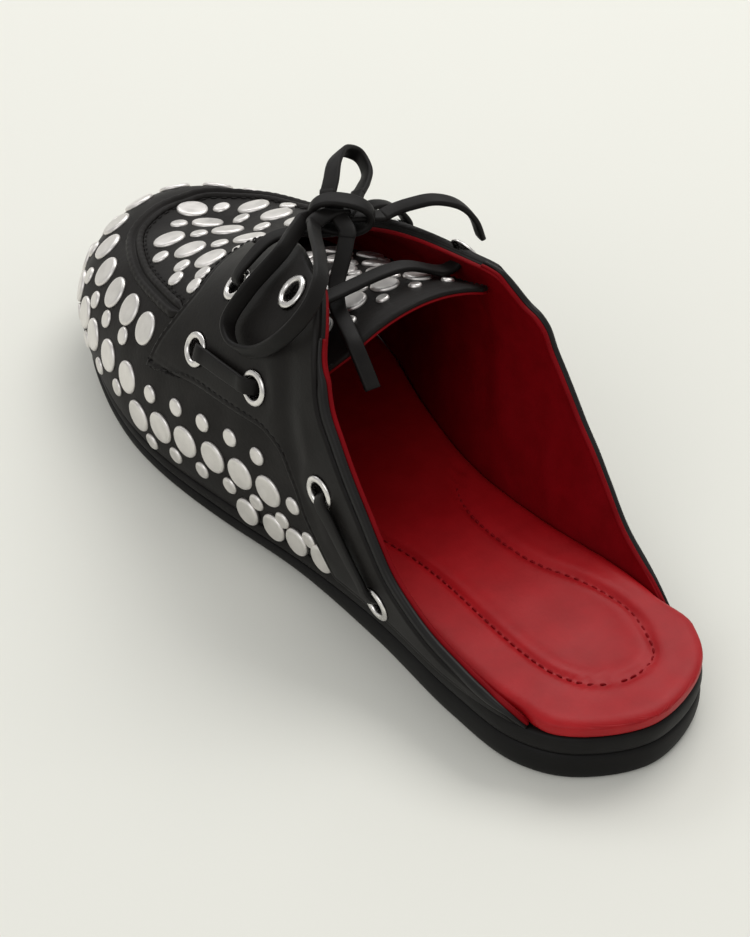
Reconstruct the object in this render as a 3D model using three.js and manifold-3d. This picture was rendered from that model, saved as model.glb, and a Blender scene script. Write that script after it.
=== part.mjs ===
// A lace-up moccasin mule, left shoe: an open-backed shoe on a low heel.
// Millimetres, +Z up, toe towards +Y. The medial (inner) side is +X, the lateral (outer) side is -X.
// All forms come from one sole outline, one table of floor levels and one table of cross-sections.
import * as THREE from "three";
import Module from "manifold-3d";

const wasm = await Module();
wasm.setup();

// ---------------------------------------------------------------- named sizes
const LENGTH = 262; // sole, heel tip to toe tip
const TOE_X = 5; // the toe tip lies this far to the medial side
const WALL = 2.4; // upper: leather, stiffener and lining together
const GAP = 0.3; // between pieces that meet
const SADDLE_T = 1.3; // saddle leather laid on the upper
const LACE_W = 4.8; // flat lace
const LACE_T = 1.8;
const CORD_D = 3.6; // plain tube that stands for a loose stretch of lace
const SHIFT = [0.954, -132.06, 0]; // puts the origin on the floor under the middle of the shoe

// Sole outline: t is the distance from the heel over LENGTH, the other two are half widths.
const OUTLINE = [
  { t: 0.03, lateral: -20.3, medial: 21.1 },
  { t: 0.08, lateral: -29.7, medial: 29.6 },
  { t: 0.17, lateral: -32.8, medial: 31.2 },
  { t: 0.3, lateral: -32.9, medial: 26.6 },
  { t: 0.42, lateral: -35.6, medial: 26.2 },
  { t: 0.55, lateral: -41.4, medial: 33.0 },
  { t: 0.66, lateral: -44.9, medial: 41.0 },
  { t: 0.73, lateral: -44.8, medial: 43.2 },
  { t: 0.81, lateral: -41.5, medial: 42.2 },
  { t: 0.89, lateral: -34.8, medial: 37.1 },
  { t: 0.95, lateral: -23.8, medial: 29.1 },
  { t: 0.985, lateral: -10.2, medial: 19.0 },
];

// Heights over the floor: the groove over the outsole and the top of the rand.
const LEVELS = [
  { y: 0, groove: 8.7, rand: 14.5 },
  { y: 60, groove: 8.3, rand: 13.8 },
  { y: 100, groove: 6.6, rand: 11.5 },
  { y: 140, groove: 4.9, rand: 8.9 },
  { y: 175, groove: 4.0, rand: 7.4 },
  { y: 200, groove: 4.5, rand: 7.8 },
  { y: 225, groove: 6.6, rand: 9.8 },
  { y: 245, groove: 9.2, rand: 12.4 },
  { y: 262, groove: 12.6, rand: 15.8 },
];

// Cross-sections of the upper: its ridge (x, z), how square the section is, and how far
// each wall swells past the sole, with the height at which the medial wall swells most.
const SECTIONS = [
  { y: 20, x: 2, z: 96, square: 4.0, swellLat: 3.2, swellMed: 3.0, high: 0.8 },
  { y: 60, x: 3, z: 98, square: 4.0, swellLat: 3.2, swellMed: 7.0, high: 1.1 },
  { y: 90, x: 3, z: 100, square: 4.0, swellLat: 3.4, swellMed: 10.5, high: 1.3 },
  { y: 111, x: 3, z: 96, square: 3.7, swellLat: 3.4, swellMed: 9.0, high: 1.3 },
  { y: 130, x: 3, z: 89.5, square: 3.2, swellLat: 3.2, swellMed: 6.5, high: 1.2 },
  { y: 150, x: 2.5, z: 80.5, square: 2.9, swellLat: 3.0, swellMed: 4.0, high: 0.95 },
  { y: 173, x: 2.2, z: 67, square: 2.8, swellLat: 3.0, swellMed: 3.0, high: 0.7 },
  { y: 193, x: 2.4, z: 57.3, square: 2.75, swellLat: 3.0, swellMed: 3.2, high: 0.65 },
  { y: 206, x: 2.9, z: 51.8, square: 2.7, swellLat: 3.0, swellMed: 3.2, high: 0.65 },
  { y: 217, x: 3.5, z: 47.2, square: 2.65, swellLat: 3.2, swellMed: 3.2, high: 0.65 },
  { y: 226, x: 4, z: 45.2, square: 2.6, swellLat: 3.2, swellMed: 3.2, high: 0.65 },
];
const RIDGE_FREE = 130; // behind this the ridge point lies straight over its sole point
const RIDGE_END = 226; // where the ridge ends over the toes

// The collar's two side edges, seen from the side.
const TOPLINE = {
  lateral: [
    [14, 12], [17.5, 16], [21.5, 19.3], [27.5, 21.3], [36.3, 22.9], [51, 25.8], [59.5, 28.8], [67.3, 33], [73.1, 39.3],
    [79, 46.5], [85.2, 53.6], [91.4, 61], [97.2, 67.6], [100.6, 74], [103.2, 82], [105, 96],
  ],
  medial: [
    [26, 12], [37, 18.5], [52.2, 27], [62.7, 37.3], [68.9, 43.4], [77, 50], [85.2, 57.2], [90.6, 63], [93.4, 68.8], [96.6, 72],
    [100.8, 74], [104.8, 79], [108, 86], [110, 98],
  ],
};
// The throat between the two wings, seen from above.
const THROAT = [
  { y: 178.5, lateral: -2, medial: 5 },
  { y: 177.5, lateral: -5.5, medial: 8.5 },
  { y: 174, lateral: -8, medial: 11 },
  { y: 165, lateral: -8, medial: 12 },
  { y: 155, lateral: -7.6, medial: 15 },
  { y: 147, lateral: -9, medial: 18 },
  { y: 140, lateral: -12, medial: 20.5 },
  { y: 131, lateral: -16, medial: 22.8 },
  { y: 120, lateral: -20.5, medial: 25 },
  { y: 110, lateral: -27, medial: 26.5 },
  { y: 103, lateral: -32, medial: 28.5 },
  { y: 94, lateral: -31, medial: 29.5 },
  { y: 84, lateral: -30, medial: 30 },
];
// The saddle's outline on each wall, seen from the side: front edge, then lower edge.
const SADDLE = {
  lateral: [
    [192, 100], [192, 40.4], [176.4, 41.2], [163.2, 43.2], [151.1, 45.8], [139, 46.9], [128, 48], [120, 48.4], [114, 46.4], [109.2, 39.4],
    [104.5, 30], [98, 20], [92, 8],
  ],
  medial: [
    [192, 100], [192, 40.4], [176.4, 41.2], [163.2, 43.2], [151.1, 45.8], [139, 47.2], [127, 48.8], [115, 48.9], [108.6, 45.6], [103, 36.6],
    [98, 29], [90, 20], [84, 8],
  ],
};
// The saddle's front edge, seen from above: it dips back over each shoulder.
const SADDLE_FRONT = {
  lateral: [[-60, 180], [-45.3, 176.4], [-40.9, 174.1], [-36.5, 171.2], [-30, 169.4], [-22.7, 172.2], [-12, 176], [-2, 178.5]],
  medial: [[5, 178.5], [14, 176], [24, 172.2], [31.4, 169.4], [37.6, 171.2], [41.8, 174.1], [45.6, 176.4], [60, 180]],
};
// Eyelets: y and z of each centre on the upper.
const EYELET_R = 5;
const EYELET_BORE = 3.1;
const EYELETS = [
  { name: "front_lateral", side: -1, y: 151.6, z: 72.2 },
  { name: "rear_lateral", side: -1, y: 126.6, z: 83.4 },
  { name: "side_1_lateral", side: -1, y: 154.6, z: 54.7 },
  { name: "side_2_lateral", side: -1, y: 126.3, z: 58.8 },
  { name: "side_3_lateral", side: -1, y: 96.1, z: 43.2 },
  { name: "side_4_lateral", side: -1, y: 73.3, z: 19.6 },
  { name: "front_medial", side: 1, y: 151, z: 70.5 },
  { name: "rear_medial", side: 1, y: 125, z: 76.8 },
  { name: "side_1_medial", side: 1, y: 154, z: 53 },
  { name: "side_2_medial", side: 1, y: 124, z: 57.5 },
  { name: "side_3_medial", side: 1, y: 91.5, z: 43 },
  { name: "side_4_medial", side: 1, y: 68.5, z: 20.2 },
];
// The tongue: x of its crown, z of its crown, how fast it falls to the sides, its two edges.
const TONGUE = [
  { y: 110.5, x: 6, z: 80, fall: 0.0118, lateral: -20, medial: 24.5 },
  { y: 112, x: 6, z: 79.8, fall: 0.0118, lateral: -24.5, medial: 27 },
  { y: 116, x: 5.5, z: 78.6, fall: 0.0122, lateral: -27, medial: 27.9 },
  { y: 130, x: 4, z: 74.6, fall: 0.0125, lateral: -27.5, medial: 27.6 },
  { y: 150, x: 3.4, z: 67.6, fall: 0.0120, lateral: -26, medial: 26.5 },
  { y: 165, x: 3.2, z: 62.3, fall: 0.0112, lateral: -24, medial: 25 },
  { y: 180, x: 2.6, z: 56.8, fall: 0.0105, lateral: -22, medial: 23.5 },
  { y: 192, x: 2.6, z: 53.4, fall: 0.0095, lateral: -19, medial: 21 },
  { y: 200, x: 2.8, z: 50.6, fall: 0.0085, lateral: -14, medial: 17 },
];
const TONGUE_T = 2.2;

// ---------------------------------------------------------------- plain helpers
// A smooth curve through one column of a table.
function column(rows, key, name) {
  const x = rows.map((r) => r[key]);
  const y = rows.map((r) => r[name]);
  const n = x.length;
  const m = y.map((_, i) => {
    if (i === 0) return (y[1] - y[0]) / (x[1] - x[0]);
    if (i === n - 1) return (y[n - 1] - y[n - 2]) / (x[n - 1] - x[n - 2]);
    const a = x[i] - x[i - 1];
    const b = x[i + 1] - x[i];
    return (a * a * y[i + 1] + (b * b - a * a) * y[i] - b * b * y[i - 1]) / (a * b * (a + b));
  });
  return (v) => {
    const q = Math.min(Math.max(v, x[0]), x[n - 1]);
    let i = 0;
    while (i < n - 2 && q > x[i + 1]) i++;
    const h = x[i + 1] - x[i];
    const t = (q - x[i]) / h;
    const t2 = t * t;
    const t3 = t2 * t;
    return (
      (2 * t3 - 3 * t2 + 1) * y[i] + (t3 - 2 * t2 + t) * h * m[i] + (-2 * t3 + 3 * t2) * y[i + 1] + (t3 - t2) * h * m[i + 1]
    );
  };
}
const V = (x, y, z) => new THREE.Vector3(x, y, z);
const lerp = (a, b, t) => a + (b - a) * t;

// Points along a smooth open line through a short list of 2-D points.
function smoothLine(points, steps) {
  const c = new THREE.CatmullRomCurve3(points.map((p) => V(p[0], p[1], 0)), false, "centripetal");
  return c.getPoints(steps).map((p) => [p.x, p.y]);
}

// A closed solid from vertices and triangles, turned to face outwards.
function solid(verts, tris) {
  const make = (t) =>
    new wasm.Manifold(
      new wasm.Mesh({ numProp: 3, vertProperties: new Float32Array(verts.flat()), triVerts: new Uint32Array(t.flat()) }),
    );
  const first = make(tris);
  return first.volume() > 0 ? first : make(tris.map(([a, b, c]) => [a, c, b]));
}
// A straight prism of a 2-D outline; place() turns (u, v, w) into x, y, z.
function prism(outline, lo, hi, place) {
  const pts = outline.map((p) => new THREE.Vector2(p[0], p[1]));
  if (THREE.ShapeUtils.isClockWise(pts)) pts.reverse();
  const faces = THREE.ShapeUtils.triangulateShape(pts, []);
  const n = pts.length;
  const verts = [...pts.map((p) => place(p.x, p.y, lo)), ...pts.map((p) => place(p.x, p.y, hi))];
  const tris = [];
  for (const [a, b, c] of faces) tris.push([a, c, b], [a + n, b + n, c + n]);
  for (let i = 0; i < n; i++) {
    const j = (i + 1) % n;
    tris.push([i, j, j + n], [i, j + n, i + n]);
  }
  return solid(verts, tris);
}
function geometryOf(made) {
  const m = made.getMesh();
  const v = new Float32Array(m.numVert * 3);
  for (let i = 0; i < m.numVert; i++) v.set(m.vertProperties.subarray(i * m.numProp, i * m.numProp + 3), i * 3);
  const g = new THREE.BufferGeometry();
  g.setAttribute("position", new THREE.BufferAttribute(v, 3));
  g.setIndex(new THREE.BufferAttribute(new Uint32Array(m.triVerts), 1));
  g.computeVertexNormals();
  return g;
}

// ---------------------------------------------------------------- sole outline
const ring = (() => {
  const lat = OUTLINE.map((r) => V(r.lateral, r.t * LENGTH, 0));
  const med = OUTLINE.map((r) => V(r.medial, r.t * LENGTH, 0)).reverse();
  const c = new THREE.CatmullRomCurve3([V(0, 0, 0), ...lat, V(TOE_X, LENGTH, 0), ...med], true, "centripetal");
  return c.getPoints(1040).slice(0, -1); // clockwise from above, from the heel tip up the lateral side
})();
// The outline moved inwards; returns x on one side at a given y, and the y range.
const insets = new Map();
function insetOutline(k) {
  if (insets.has(k)) return insets.get(k);
  const n = ring.length;
  const pts = ring.map((p, i) => {
    const a = ring[(i + n - 1) % n];
    const b = ring[(i + 1) % n];
    const l = Math.hypot(b.x - a.x, b.y - a.y);
    return [p.x + ((b.y - a.y) / l) * k, p.y - ((b.x - a.x) / l) * k];
  });
  let lo = 0;
  let hi = 0;
  pts.forEach((p, i) => {
    if (p[1] < pts[lo][1]) lo = i;
    if (p[1] > pts[hi][1]) hi = i;
  });
  const walk = (from, to) => {
    const out = [];
    for (let i = from; i !== to; i = (i + 1) % n) out.push(pts[i]);
    out.push(pts[to]);
    return out;
  };
  const made = { y0: pts[lo][1], y1: pts[hi][1], lateral: walk(lo, hi), medial: walk(hi, lo).reverse() };
  insets.set(k, made);
  return made;
}
function xAt(line, y) {
  let a = 0;
  let b = line.length - 1;
  while (b - a > 1) {
    const m = (a + b) >> 1;
    if (line[m][1] <= y) a = m;
    else b = m;
  }
  const d = line[b][1] - line[a][1];
  return d < 1e-9 ? line[a][0] : lerp(line[a][0], line[b][0], (y - line[a][1]) / d);
}
// s runs 0..1 from heel tip to toe tip, closer near the ends.
function footAt(k, side, s) {
  const o = insetOutline(k);
  const y = o.y0 + ((o.y1 - o.y0) * (1 - Math.cos(Math.PI * s))) / 2;
  return [xAt(side < 0 ? o.lateral : o.medial, y), y];
}

// ---------------------------------------------------------------- floor levels
const TOE_SPRING = 9;
function under(y) {
  if (y < 75) return 0; // the heel stands flat
  if (y < 160) return 1.4 * Math.sin((Math.PI * (y - 75)) / 85) ** 2;
  if (y < 188) return 0; // the ball stands flat
  return TOE_SPRING * ((y - 188) / (LENGTH - 188)) ** 1.8;
}
const groove = column(LEVELS, "y", "groove");
const randTop = column(LEVELS, "y", "rand");

// A layer of the sole: rings of [inset, fraction of the height], closed by flat strips.
const SOLE_STEPS = 28;
function layer(low, high, rings, dish = 0) {
  const K = SOLE_STEPS;
  const verts = [];
  const tris = [];
  const idx = rings.map(([k, f]) => {
    const row = [];
    for (let i = 0; i <= K; i++) {
      const [x, y] = footAt(typeof k === "function" ? 0 : k, -1, i / K);
      row.push(verts.push([x, y, lerp(low(y), high(y), f)]) - 1);
    }
    for (let i = K - 1; i > 0; i--) {
      const [x, y] = footAt(typeof k === "function" ? 0 : k, 1, i / K);
      row.push(verts.push([x, y, lerp(low(y), high(y), f)]) - 1);
    }
    return row;
  });
  const n = 2 * K;
  for (let r = 0; r + 1 < idx.length; r++)
    for (let i = 0; i < n; i++) {
      const j = (i + 1) % n;
      tris.push([idx[r][i], idx[r][j], idx[r + 1][j]], [idx[r][i], idx[r + 1][j], idx[r + 1][i]]);
    }
  const cap = (row, up, sink) => {
    // a middle line lets the cap be dished
    const mid = [];
    for (let i = 1; i < K; i++) {
      const a = verts[row[i]];
      const b = verts[row[n - i]];
      mid[i] = verts.push([(a[0] + b[0]) / 2, (a[1] + b[1]) / 2, (a[2] + b[2]) / 2 - sink * Math.sin((Math.PI * i) / K)]) - 1;
    }
    const put = (a, b, c) => tris.push(up ? [a, b, c] : [a, c, b]);
    put(row[0], row[1], mid[1]);
    put(row[0], mid[1], row[n - 1]);
    for (let i = 1; i < K - 1; i++) {
      put(row[i], row[i + 1], mid[i + 1]);
      put(row[i], mid[i + 1], mid[i]);
      put(mid[i], mid[i + 1], row[n - i - 1]);
      put(mid[i], row[n - i - 1], row[n - i]);
    }
    put(row[K - 1], row[K], mid[K - 1]);
    put(mid[K - 1], row[K], row[K + 1]);
  };
  cap(idx[0], false, 0);
  cap(idx[idx.length - 1], true, dish);
  return solid(verts, tris);
}

// ---------------------------------------------------------------- the upper's surface
const FEATHER_IN = 0.5; // the upper meets the rand this far inside the sole's edge
const ridgeX = column(SECTIONS, "y", "x");
const ridgeZ = column(SECTIONS, "y", "z");
const squareAt = column(SECTIONS, "y", "square");
const swellLat = column(SECTIONS, "y", "swellLat");
const swellMed = column(SECTIONS, "y", "swellMed");
const highAt = column(SECTIONS, "y", "high");
// Sole points ahead of RIDGE_FREE share a ridge that is squeezed to end at RIDGE_END.
const squeeze = (() => {
  let lo = 10;
  let hi = 5000;
  for (let i = 0; i < 80; i++) {
    const w = (lo + hi) / 2;
    if (RIDGE_FREE + w * (1 - Math.exp(-(LENGTH - RIDGE_FREE) / w)) < RIDGE_END) lo = w;
    else hi = w;
  }
  return (lo + hi) / 2;
})();
const ridgeY = (y) => (y < RIDGE_FREE ? y : RIDGE_FREE + squeeze * (1 - Math.exp(-(y - RIDGE_FREE) / squeeze)));

// u runs round the foot: 0 heel tip, 0.5 toe tip, 1 heel tip again (lateral side first);
// b runs from 0 at the sole to 1 at the ridge.
function skin(u, b) {
  const side = u <= 0.5 ? -1 : 1;
  const s = u <= 0.5 ? 2 * u : 2 * (1 - u);
  const [fx, fy] = footAt(FEATHER_IN, side, s);
  const e = 2e-3;
  const wrap = (q) => ((q % 1) + 1) % 1;
  const at = (q) => {
    const w = wrap(q);
    return footAt(FEATHER_IN, w <= 0.5 ? -1 : 1, w <= 0.5 ? 2 * w : 2 * (1 - w));
  };
  const p = at(u - e);
  const q = at(u + e);
  const l = Math.hypot(q[0] - p[0], q[1] - p[1]);
  const nx = -(q[1] - p[1]) / l;
  const ny = (q[0] - p[0]) / l;
  const ry = ridgeY(fy);
  const n = squareAt(ry);
  const c = Math.max(Math.cos((b * Math.PI) / 2), 0) ** (2 / n);
  const v = Math.max(Math.sin((b * Math.PI) / 2), 0) ** (2 / n);
  const toe = Math.min(Math.max((fy - 200) / 50, 0), 1); // both sides agree round the toe
  const high = side < 0 ? 0.65 : lerp(highAt(ry), 0.65, toe);
  const swell = (side < 0 ? swellLat(ry) : swellMed(ry)) * Math.sin(Math.PI * v ** high);
  const z0 = randTop(fy) + GAP;
  return V(
    fx + (ridgeX(ry) - fx) * (1 - c) + nx * swell,
    fy + (ry - fy) * (1 - c) + ny * swell,
    lerp(z0, ridgeZ(ry), v),
  );
}
function skinNormal(u, b) {
  const e = 1e-3;
  const wrap = (q) => ((q % 1) + 1) % 1;
  if (b > 0.9995) {
    // on the ridge both sides share one normal, square to the ridge line
    const s = u <= 0.5 ? 2 * u : 2 * (1 - u);
    const y = ridgeY(footAt(FEATHER_IN, -1, s)[1]);
    const dz = (ridgeZ(y + 0.5) - ridgeZ(y - 0.5)) / 1;
    return V(0, -dz, 1).normalize();
  }
  const b0 = Math.max(b - e, 0.004);
  const b1 = Math.max(b, 0.004) + e;
  const du = skin(wrap(u + e), Math.max(b, 0.002)).sub(skin(wrap(u - e), Math.max(b, 0.002)));
  const db = skin(u, b1).sub(skin(u, b0));
  // du runs clockwise from above, db upwards: their cross product points outwards
  return db.cross(du).normalize().negate().multiplyScalar(-1);
}
function onSkin(u, b, off = 0) {
  return skin(u, b).addScaledVector(skinNormal(u, b), off);
}

// The closed body under a moved skin. "drop" carries its foot straight down.
const RING_STEPS = 32;
const ROWS = 11;
const rowB = (j) => (j / ROWS) ** 1.6;
function body(off, drop) {
  const K = RING_STEPS;
  const verts = [];
  const tris = [];
  const rows = [];
  const uOf = (i) => (i <= K ? i / (2 * K) : i / (2 * K));
  if (drop > 0) rows.push([]);
  for (let j = 0; j < ROWS; j++) rows.push([]);
  for (let i = 0; i < 2 * K; i++) {
    for (let j = 0; j < ROWS; j++) {
      const p = onSkin(uOf(i), rowB(j), off);
      if (j === 0 && drop > 0) rows[0].push(verts.push([p.x, p.y, p.z - drop]) - 1);
      rows[j + (drop > 0 ? 1 : 0)].push(verts.push([p.x, p.y, p.z]) - 1);
    }
  }
  const ridge = [];
  for (let i = 0; i <= K; i++) {
    const p = onSkin(i / (2 * K), 1, off);
    ridge.push(verts.push([p.x, p.y, p.z]) - 1);
  }
  const n = 2 * K;
  for (let r = 0; r + 1 < rows.length; r++)
    for (let i = 0; i < n; i++) {
      const j = (i + 1) % n;
      tris.push([rows[r][i], rows[r][j], rows[r + 1][j]], [rows[r][i], rows[r + 1][j], rows[r + 1][i]]);
    }
  const top = rows[rows.length - 1];
  for (let i = 0; i < n; i++) {
    const j = (i + 1) % n;
    const a = ridge[i <= K ? i : n - i];
    const b = ridge[j <= K && j !== 0 ? j : j === 0 ? 0 : n - j];
    tris.push([top[i], top[j], b]);
    if (a !== b) tris.push([top[i], b, a]);
  }
  const foot = rows[0];
  for (let i = 0; i < K; i++) {
    const a = foot[i];
    const b = foot[i + 1];
    const c = foot[(n - i - 1) % n];
    const d = foot[(n - i) % n];
    if (i === 0) tris.push([a, c, b]);
    else if (i === K - 1) tris.push([a, d, b]);
    else tris.push([a, d, c], [a, c, b]);
  }
  return solid(verts, tris);
}

// u and b of the point of the skin with this y and z on one side.
function find(side, y, z) {
  let u = side < 0 ? 0.3 : 0.7;
  let b = 0.3;
  for (let k = 0; k < 60; k++) {
    const p = skin(u, b);
    const e = 1e-4;
    const pu = skin(u + e, b);
    const pb = skin(u, b + e);
    const a11 = (pu.y - p.y) / e;
    const a12 = (pb.y - p.y) / e;
    const a21 = (pu.z - p.z) / e;
    const a22 = (pb.z - p.z) / e;
    const det = a11 * a22 - a12 * a21;
    const ry = y - p.y;
    const rz = z - p.z;
    const du = (ry * a22 - rz * a12) / det;
    const db = (rz * a11 - ry * a21) / det;
    const g = Math.min(1, 0.05 / Math.max(Math.abs(du), Math.abs(db), 1e-9));
    u += du * g;
    b = Math.min(Math.max(b + db * g, 0.003), 0.995);
  }
  return [u, b];
}

// ---------------------------------------------------------------- cutters
const sideCut = (side) => {
  const line = smoothLine(TOPLINE[side], 40);
  const last = line[line.length - 1];
  const loop = [...line, [last[0], 160], [-60, 160], [-60, -20], [line[0][0], -20]];
  const [x0, x1] = side === "lateral" ? [-90, 2] : [2, 90];
  return prism(loop, x0, x1, (y, z, x) => [x, y, z]);
};
const throatCut = () => {
  const lat = smoothLine(THROAT.map((r) => [r.lateral, r.y]), 34);
  const med = smoothLine(THROAT.map((r) => [r.medial, r.y]), 34).reverse();
  return prism([...lat, [-30, 40], [30, 40], ...med], 30, 160, (x, y, z) => [x, y, z]);
};
const saddleKeep = (side) => {
  const pts = SADDLE[side];
  const line = [...pts.slice(0, 3), ...smoothLine(pts.slice(2), 22).slice(1)];
  const loop = [...line, [20, -10], [20, 130], [192, 130]];
  const [x0, x1] = side === "lateral" ? [-90, -2.5] : [6, 90];
  const below = prism(loop, x0, x1, (y, z, x) => [x, y, z]);
  const front = smoothLine(SADDLE_FRONT[side], 15);
  const [a, b] = [front[0][0], front[front.length - 1][0]];
  const behind = prism([[a, 0], [b, 0], ...front.reverse()], -10, 130, (x, y, z) => [x, y, z]);
  return below.intersect(behind);
};
const collar = [sideCut("lateral"), sideCut("medial"), throatCut()];
const cutAll = (m, list) => list.reduce((a, c) => a.subtract(c), m);

// A round rod square to the skin, for the eyelet holes.
function frameAt(side, y, z) {
  const [u, b] = find(side, y, z);
  const p = skin(u, b);
  const n = skinNormal(u, b);
  return { p, n };
}
const placed = EYELETS.map((e) => ({ ...e, ...frameAt(e.side, e.y, e.z) }));
function turned(profile, segments, p, n) {
  // a closed profile of [radius, height] turned about n
  const q = new THREE.Quaternion().setFromUnitVectors(V(0, 0, 1), n);
  const verts = [];
  const tris = [];
  const m = profile.length;
  for (let i = 0; i < segments; i++) {
    const a = (2 * Math.PI * i) / segments;
    for (const [r, h] of profile) {
      const w = V(r * Math.cos(a), r * Math.sin(a), h).applyQuaternion(q).add(p);
      verts.push([w.x, w.y, w.z]);
    }
  }
  for (let i = 0; i < segments; i++) {
    const j = (i + 1) % segments;
    for (let k = 0; k < m; k++) {
      const l = (k + 1) % m;
      tris.push([i * m + k, j * m + k, j * m + l], [i * m + k, j * m + l, i * m + l]);
    }
  }
  return solid(verts, tris);
}
function rod(radius, from, to, segments, p, n) {
  const q = new THREE.Quaternion().setFromUnitVectors(V(0, 0, 1), n);
  const outline = [];
  for (let i = 0; i < segments; i++) {
    const a = (2 * Math.PI * i) / segments;
    outline.push([radius * Math.cos(a), radius * Math.sin(a)]);
  }
  return prism(outline, from, to, (x, y, z) => {
    const w = V(x, y, z).applyQuaternion(q).add(p);
    return [w.x, w.y, w.z];
  });
}

// ---------------------------------------------------------------- laces
// A flat strip swept along points; ups gives the direction of its thin side.
function strip(points, ups, steps, w = LACE_W, t = LACE_T) {
  const c = new THREE.CatmullRomCurve3(points, false, "centripetal");
  const verts = [];
  const tris = [];
  for (let i = 0; i <= steps; i++) {
    const f = i / steps;
    const p = c.getPoint(f);
    const T = c.getTangent(f);
    const k = Math.min(f * (ups.length - 1), ups.length - 1 - 1e-9);
    const U = ups[Math.floor(k)].clone().lerp(ups[Math.floor(k) + 1], k - Math.floor(k));
    U.addScaledVector(T, -U.dot(T)).normalize();
    const S = T.clone().cross(U);
    for (const [a, b] of [[-1, -1], [1, -1], [1, 1], [-1, 1]]) {
      const q = p.clone().addScaledVector(S, (a * w) / 2).addScaledVector(U, (b * t) / 2);
      verts.push([q.x, q.y, q.z]);
    }
  }
  for (let i = 0; i < steps; i++)
    for (let k = 0; k < 4; k++) {
      const l = (k + 1) % 4;
      const a = 4 * i;
      tris.push([a + k, a + l, a + 4 + l], [a + k, a + 4 + l, a + 4 + k]);
    }
  const e = 4 * steps;
  tris.push([0, 2, 1], [0, 3, 2], [e, e + 1, e + 2], [e, e + 2, e + 3]);
  return solid(verts, tris);
}
// A bar of lace out of one eyelet, over the leather, and into the next.
const BAR_PATH = [[0.4, -2.2], [0.4, 0.8], [0.8, 2.9], [2.3, 4.4], [5.2, 4.8]];
function bar(a, b, lift = 0) {
  const d = b.p.clone().sub(a.p).normalize();
  const points = [];
  const ups = [];
  for (const [x, h] of BAR_PATH) {
    points.push(a.p.clone().addScaledVector(d, x).addScaledVector(a.n, h));
    ups.push(a.n.clone().multiplyScalar(Math.min(Math.max((h - 0.8) / 3.4, 0), 1)).addScaledVector(d, -Math.max(1 - Math.max(h, 0) / 4.4, 0)).normalize());
  }
  const mid = a.p.clone().lerp(b.p, 0.5).addScaledVector(a.n.clone().add(b.n).normalize(), 4.0 + lift);
  points.push(mid);
  ups.push(a.n.clone().add(b.n).normalize());
  for (const [x, h] of [...BAR_PATH].reverse()) {
    points.push(b.p.clone().addScaledVector(d, -x).addScaledVector(b.n, h));
    ups.push(b.n.clone().multiplyScalar(Math.min(Math.max((h - 0.8) / 3.4, 0), 1)).addScaledVector(d, Math.max(1 - Math.max(h, 0) / 4.4, 0)).normalize());
  }
  return strip(points, ups, 20);
}
// A loose stretch of lace: a plain tube along its route.
function cord(points, steps, d = CORD_D) {
  const path = new THREE.CatmullRomCurve3(points.map((p) => V(...p)), false, "centripetal");
  const shape = new THREE.Shape();
  for (let i = 0; i < 8; i++) {
    const a = (2 * Math.PI * i) / 8;
    if (i === 0) shape.moveTo((d / 2) * Math.cos(a), (d / 2) * Math.sin(a));
    else shape.lineTo((d / 2) * Math.cos(a), (d / 2) * Math.sin(a));
  }
  shape.closePath();
  return new THREE.ExtrudeGeometry(shape, { steps, extrudePath: path, bevelEnabled: false, curveSegments: 1 });
}

// ---------------------------------------------------------------- build
const group = new THREE.Group();
const finishes = {
  rubber: { color: 0x17171a, roughness: 0.7, metalness: 0 },
  leather: { color: 0x1b1918, roughness: 0.45, metalness: 0 },
  red: { color: 0x8c1018, roughness: 0.5, metalness: 0 },
  metal: { color: 0xc9c4be, roughness: 0.3, metalness: 1 },
};
function add(name, geometry, finish) {
  const mesh = new THREE.Mesh(geometry, new THREE.MeshStandardMaterial(finishes[finish]));
  mesh.name = name;
  group.add(mesh);
  return mesh;
}

const outsole = layer(under, (y) => groove(y) - GAP / 2, [[2.0, 0], [0.7, 0.12], [0, 0.45], [0, 0.8], [0.9, 1]]);
add("outsole", geometryOf(outsole), "rubber");
const rand = layer((y) => groove(y) + GAP / 2, (y) => randTop(y), [[1.1, 0], [0.2, 0.2], [0, 0.55], [0.25, 0.86], [0.9, 1]]);
add("rand", geometryOf(rand), "leather");

// The footbed fills the heel to its edge and runs in between the upper's walls.
const BED_H = 4.6;
const bedOuter = layer((y) => randTop(y) + GAP, (y) => randTop(y) + GAP + BED_H, [[1.2, 0], [0.3, 0.3], [0.3, 0.62], [1.5, 0.93], [4, 1]], 0.8);
const bedInner = layer((y) => randTop(y) - 2, (y) => randTop(y) + 30, [[FEATHER_IN + WALL + GAP, 0], [FEATHER_IN + WALL + GAP, 1]]);
const bedHeel = prism([[-80, -20], [80, -20], [80, 24], [-80, 12]], -5, 60, (x, y, z) => [x, y, z]);
const footbed = bedOuter.intersect(bedInner.add(bedHeel));
add("footbed", geometryOf(footbed), "red");

const shell = body(0, 0).subtract(body(-WALL, 8));
const holes = placed.map((e) => rod(3.95, -8, 8, 8, e.p, e.n));
const upper = cutAll(cutAll(shell, collar), holes);
add("upper", geometryOf(upper.simplify(0.02)), "leather");

// The saddle: leather between two larger forms of the same skin.
const saddleShell = body(GAP + SADDLE_T, 0).subtract(body(GAP, 12));
for (const side of ["lateral", "medial"]) {
  const made = cutAll(cutAll(saddleShell.intersect(saddleKeep(side)), collar), holes);
  add("saddle_" + side, geometryOf(made.simplify(0.02)), "leather");
}

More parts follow.
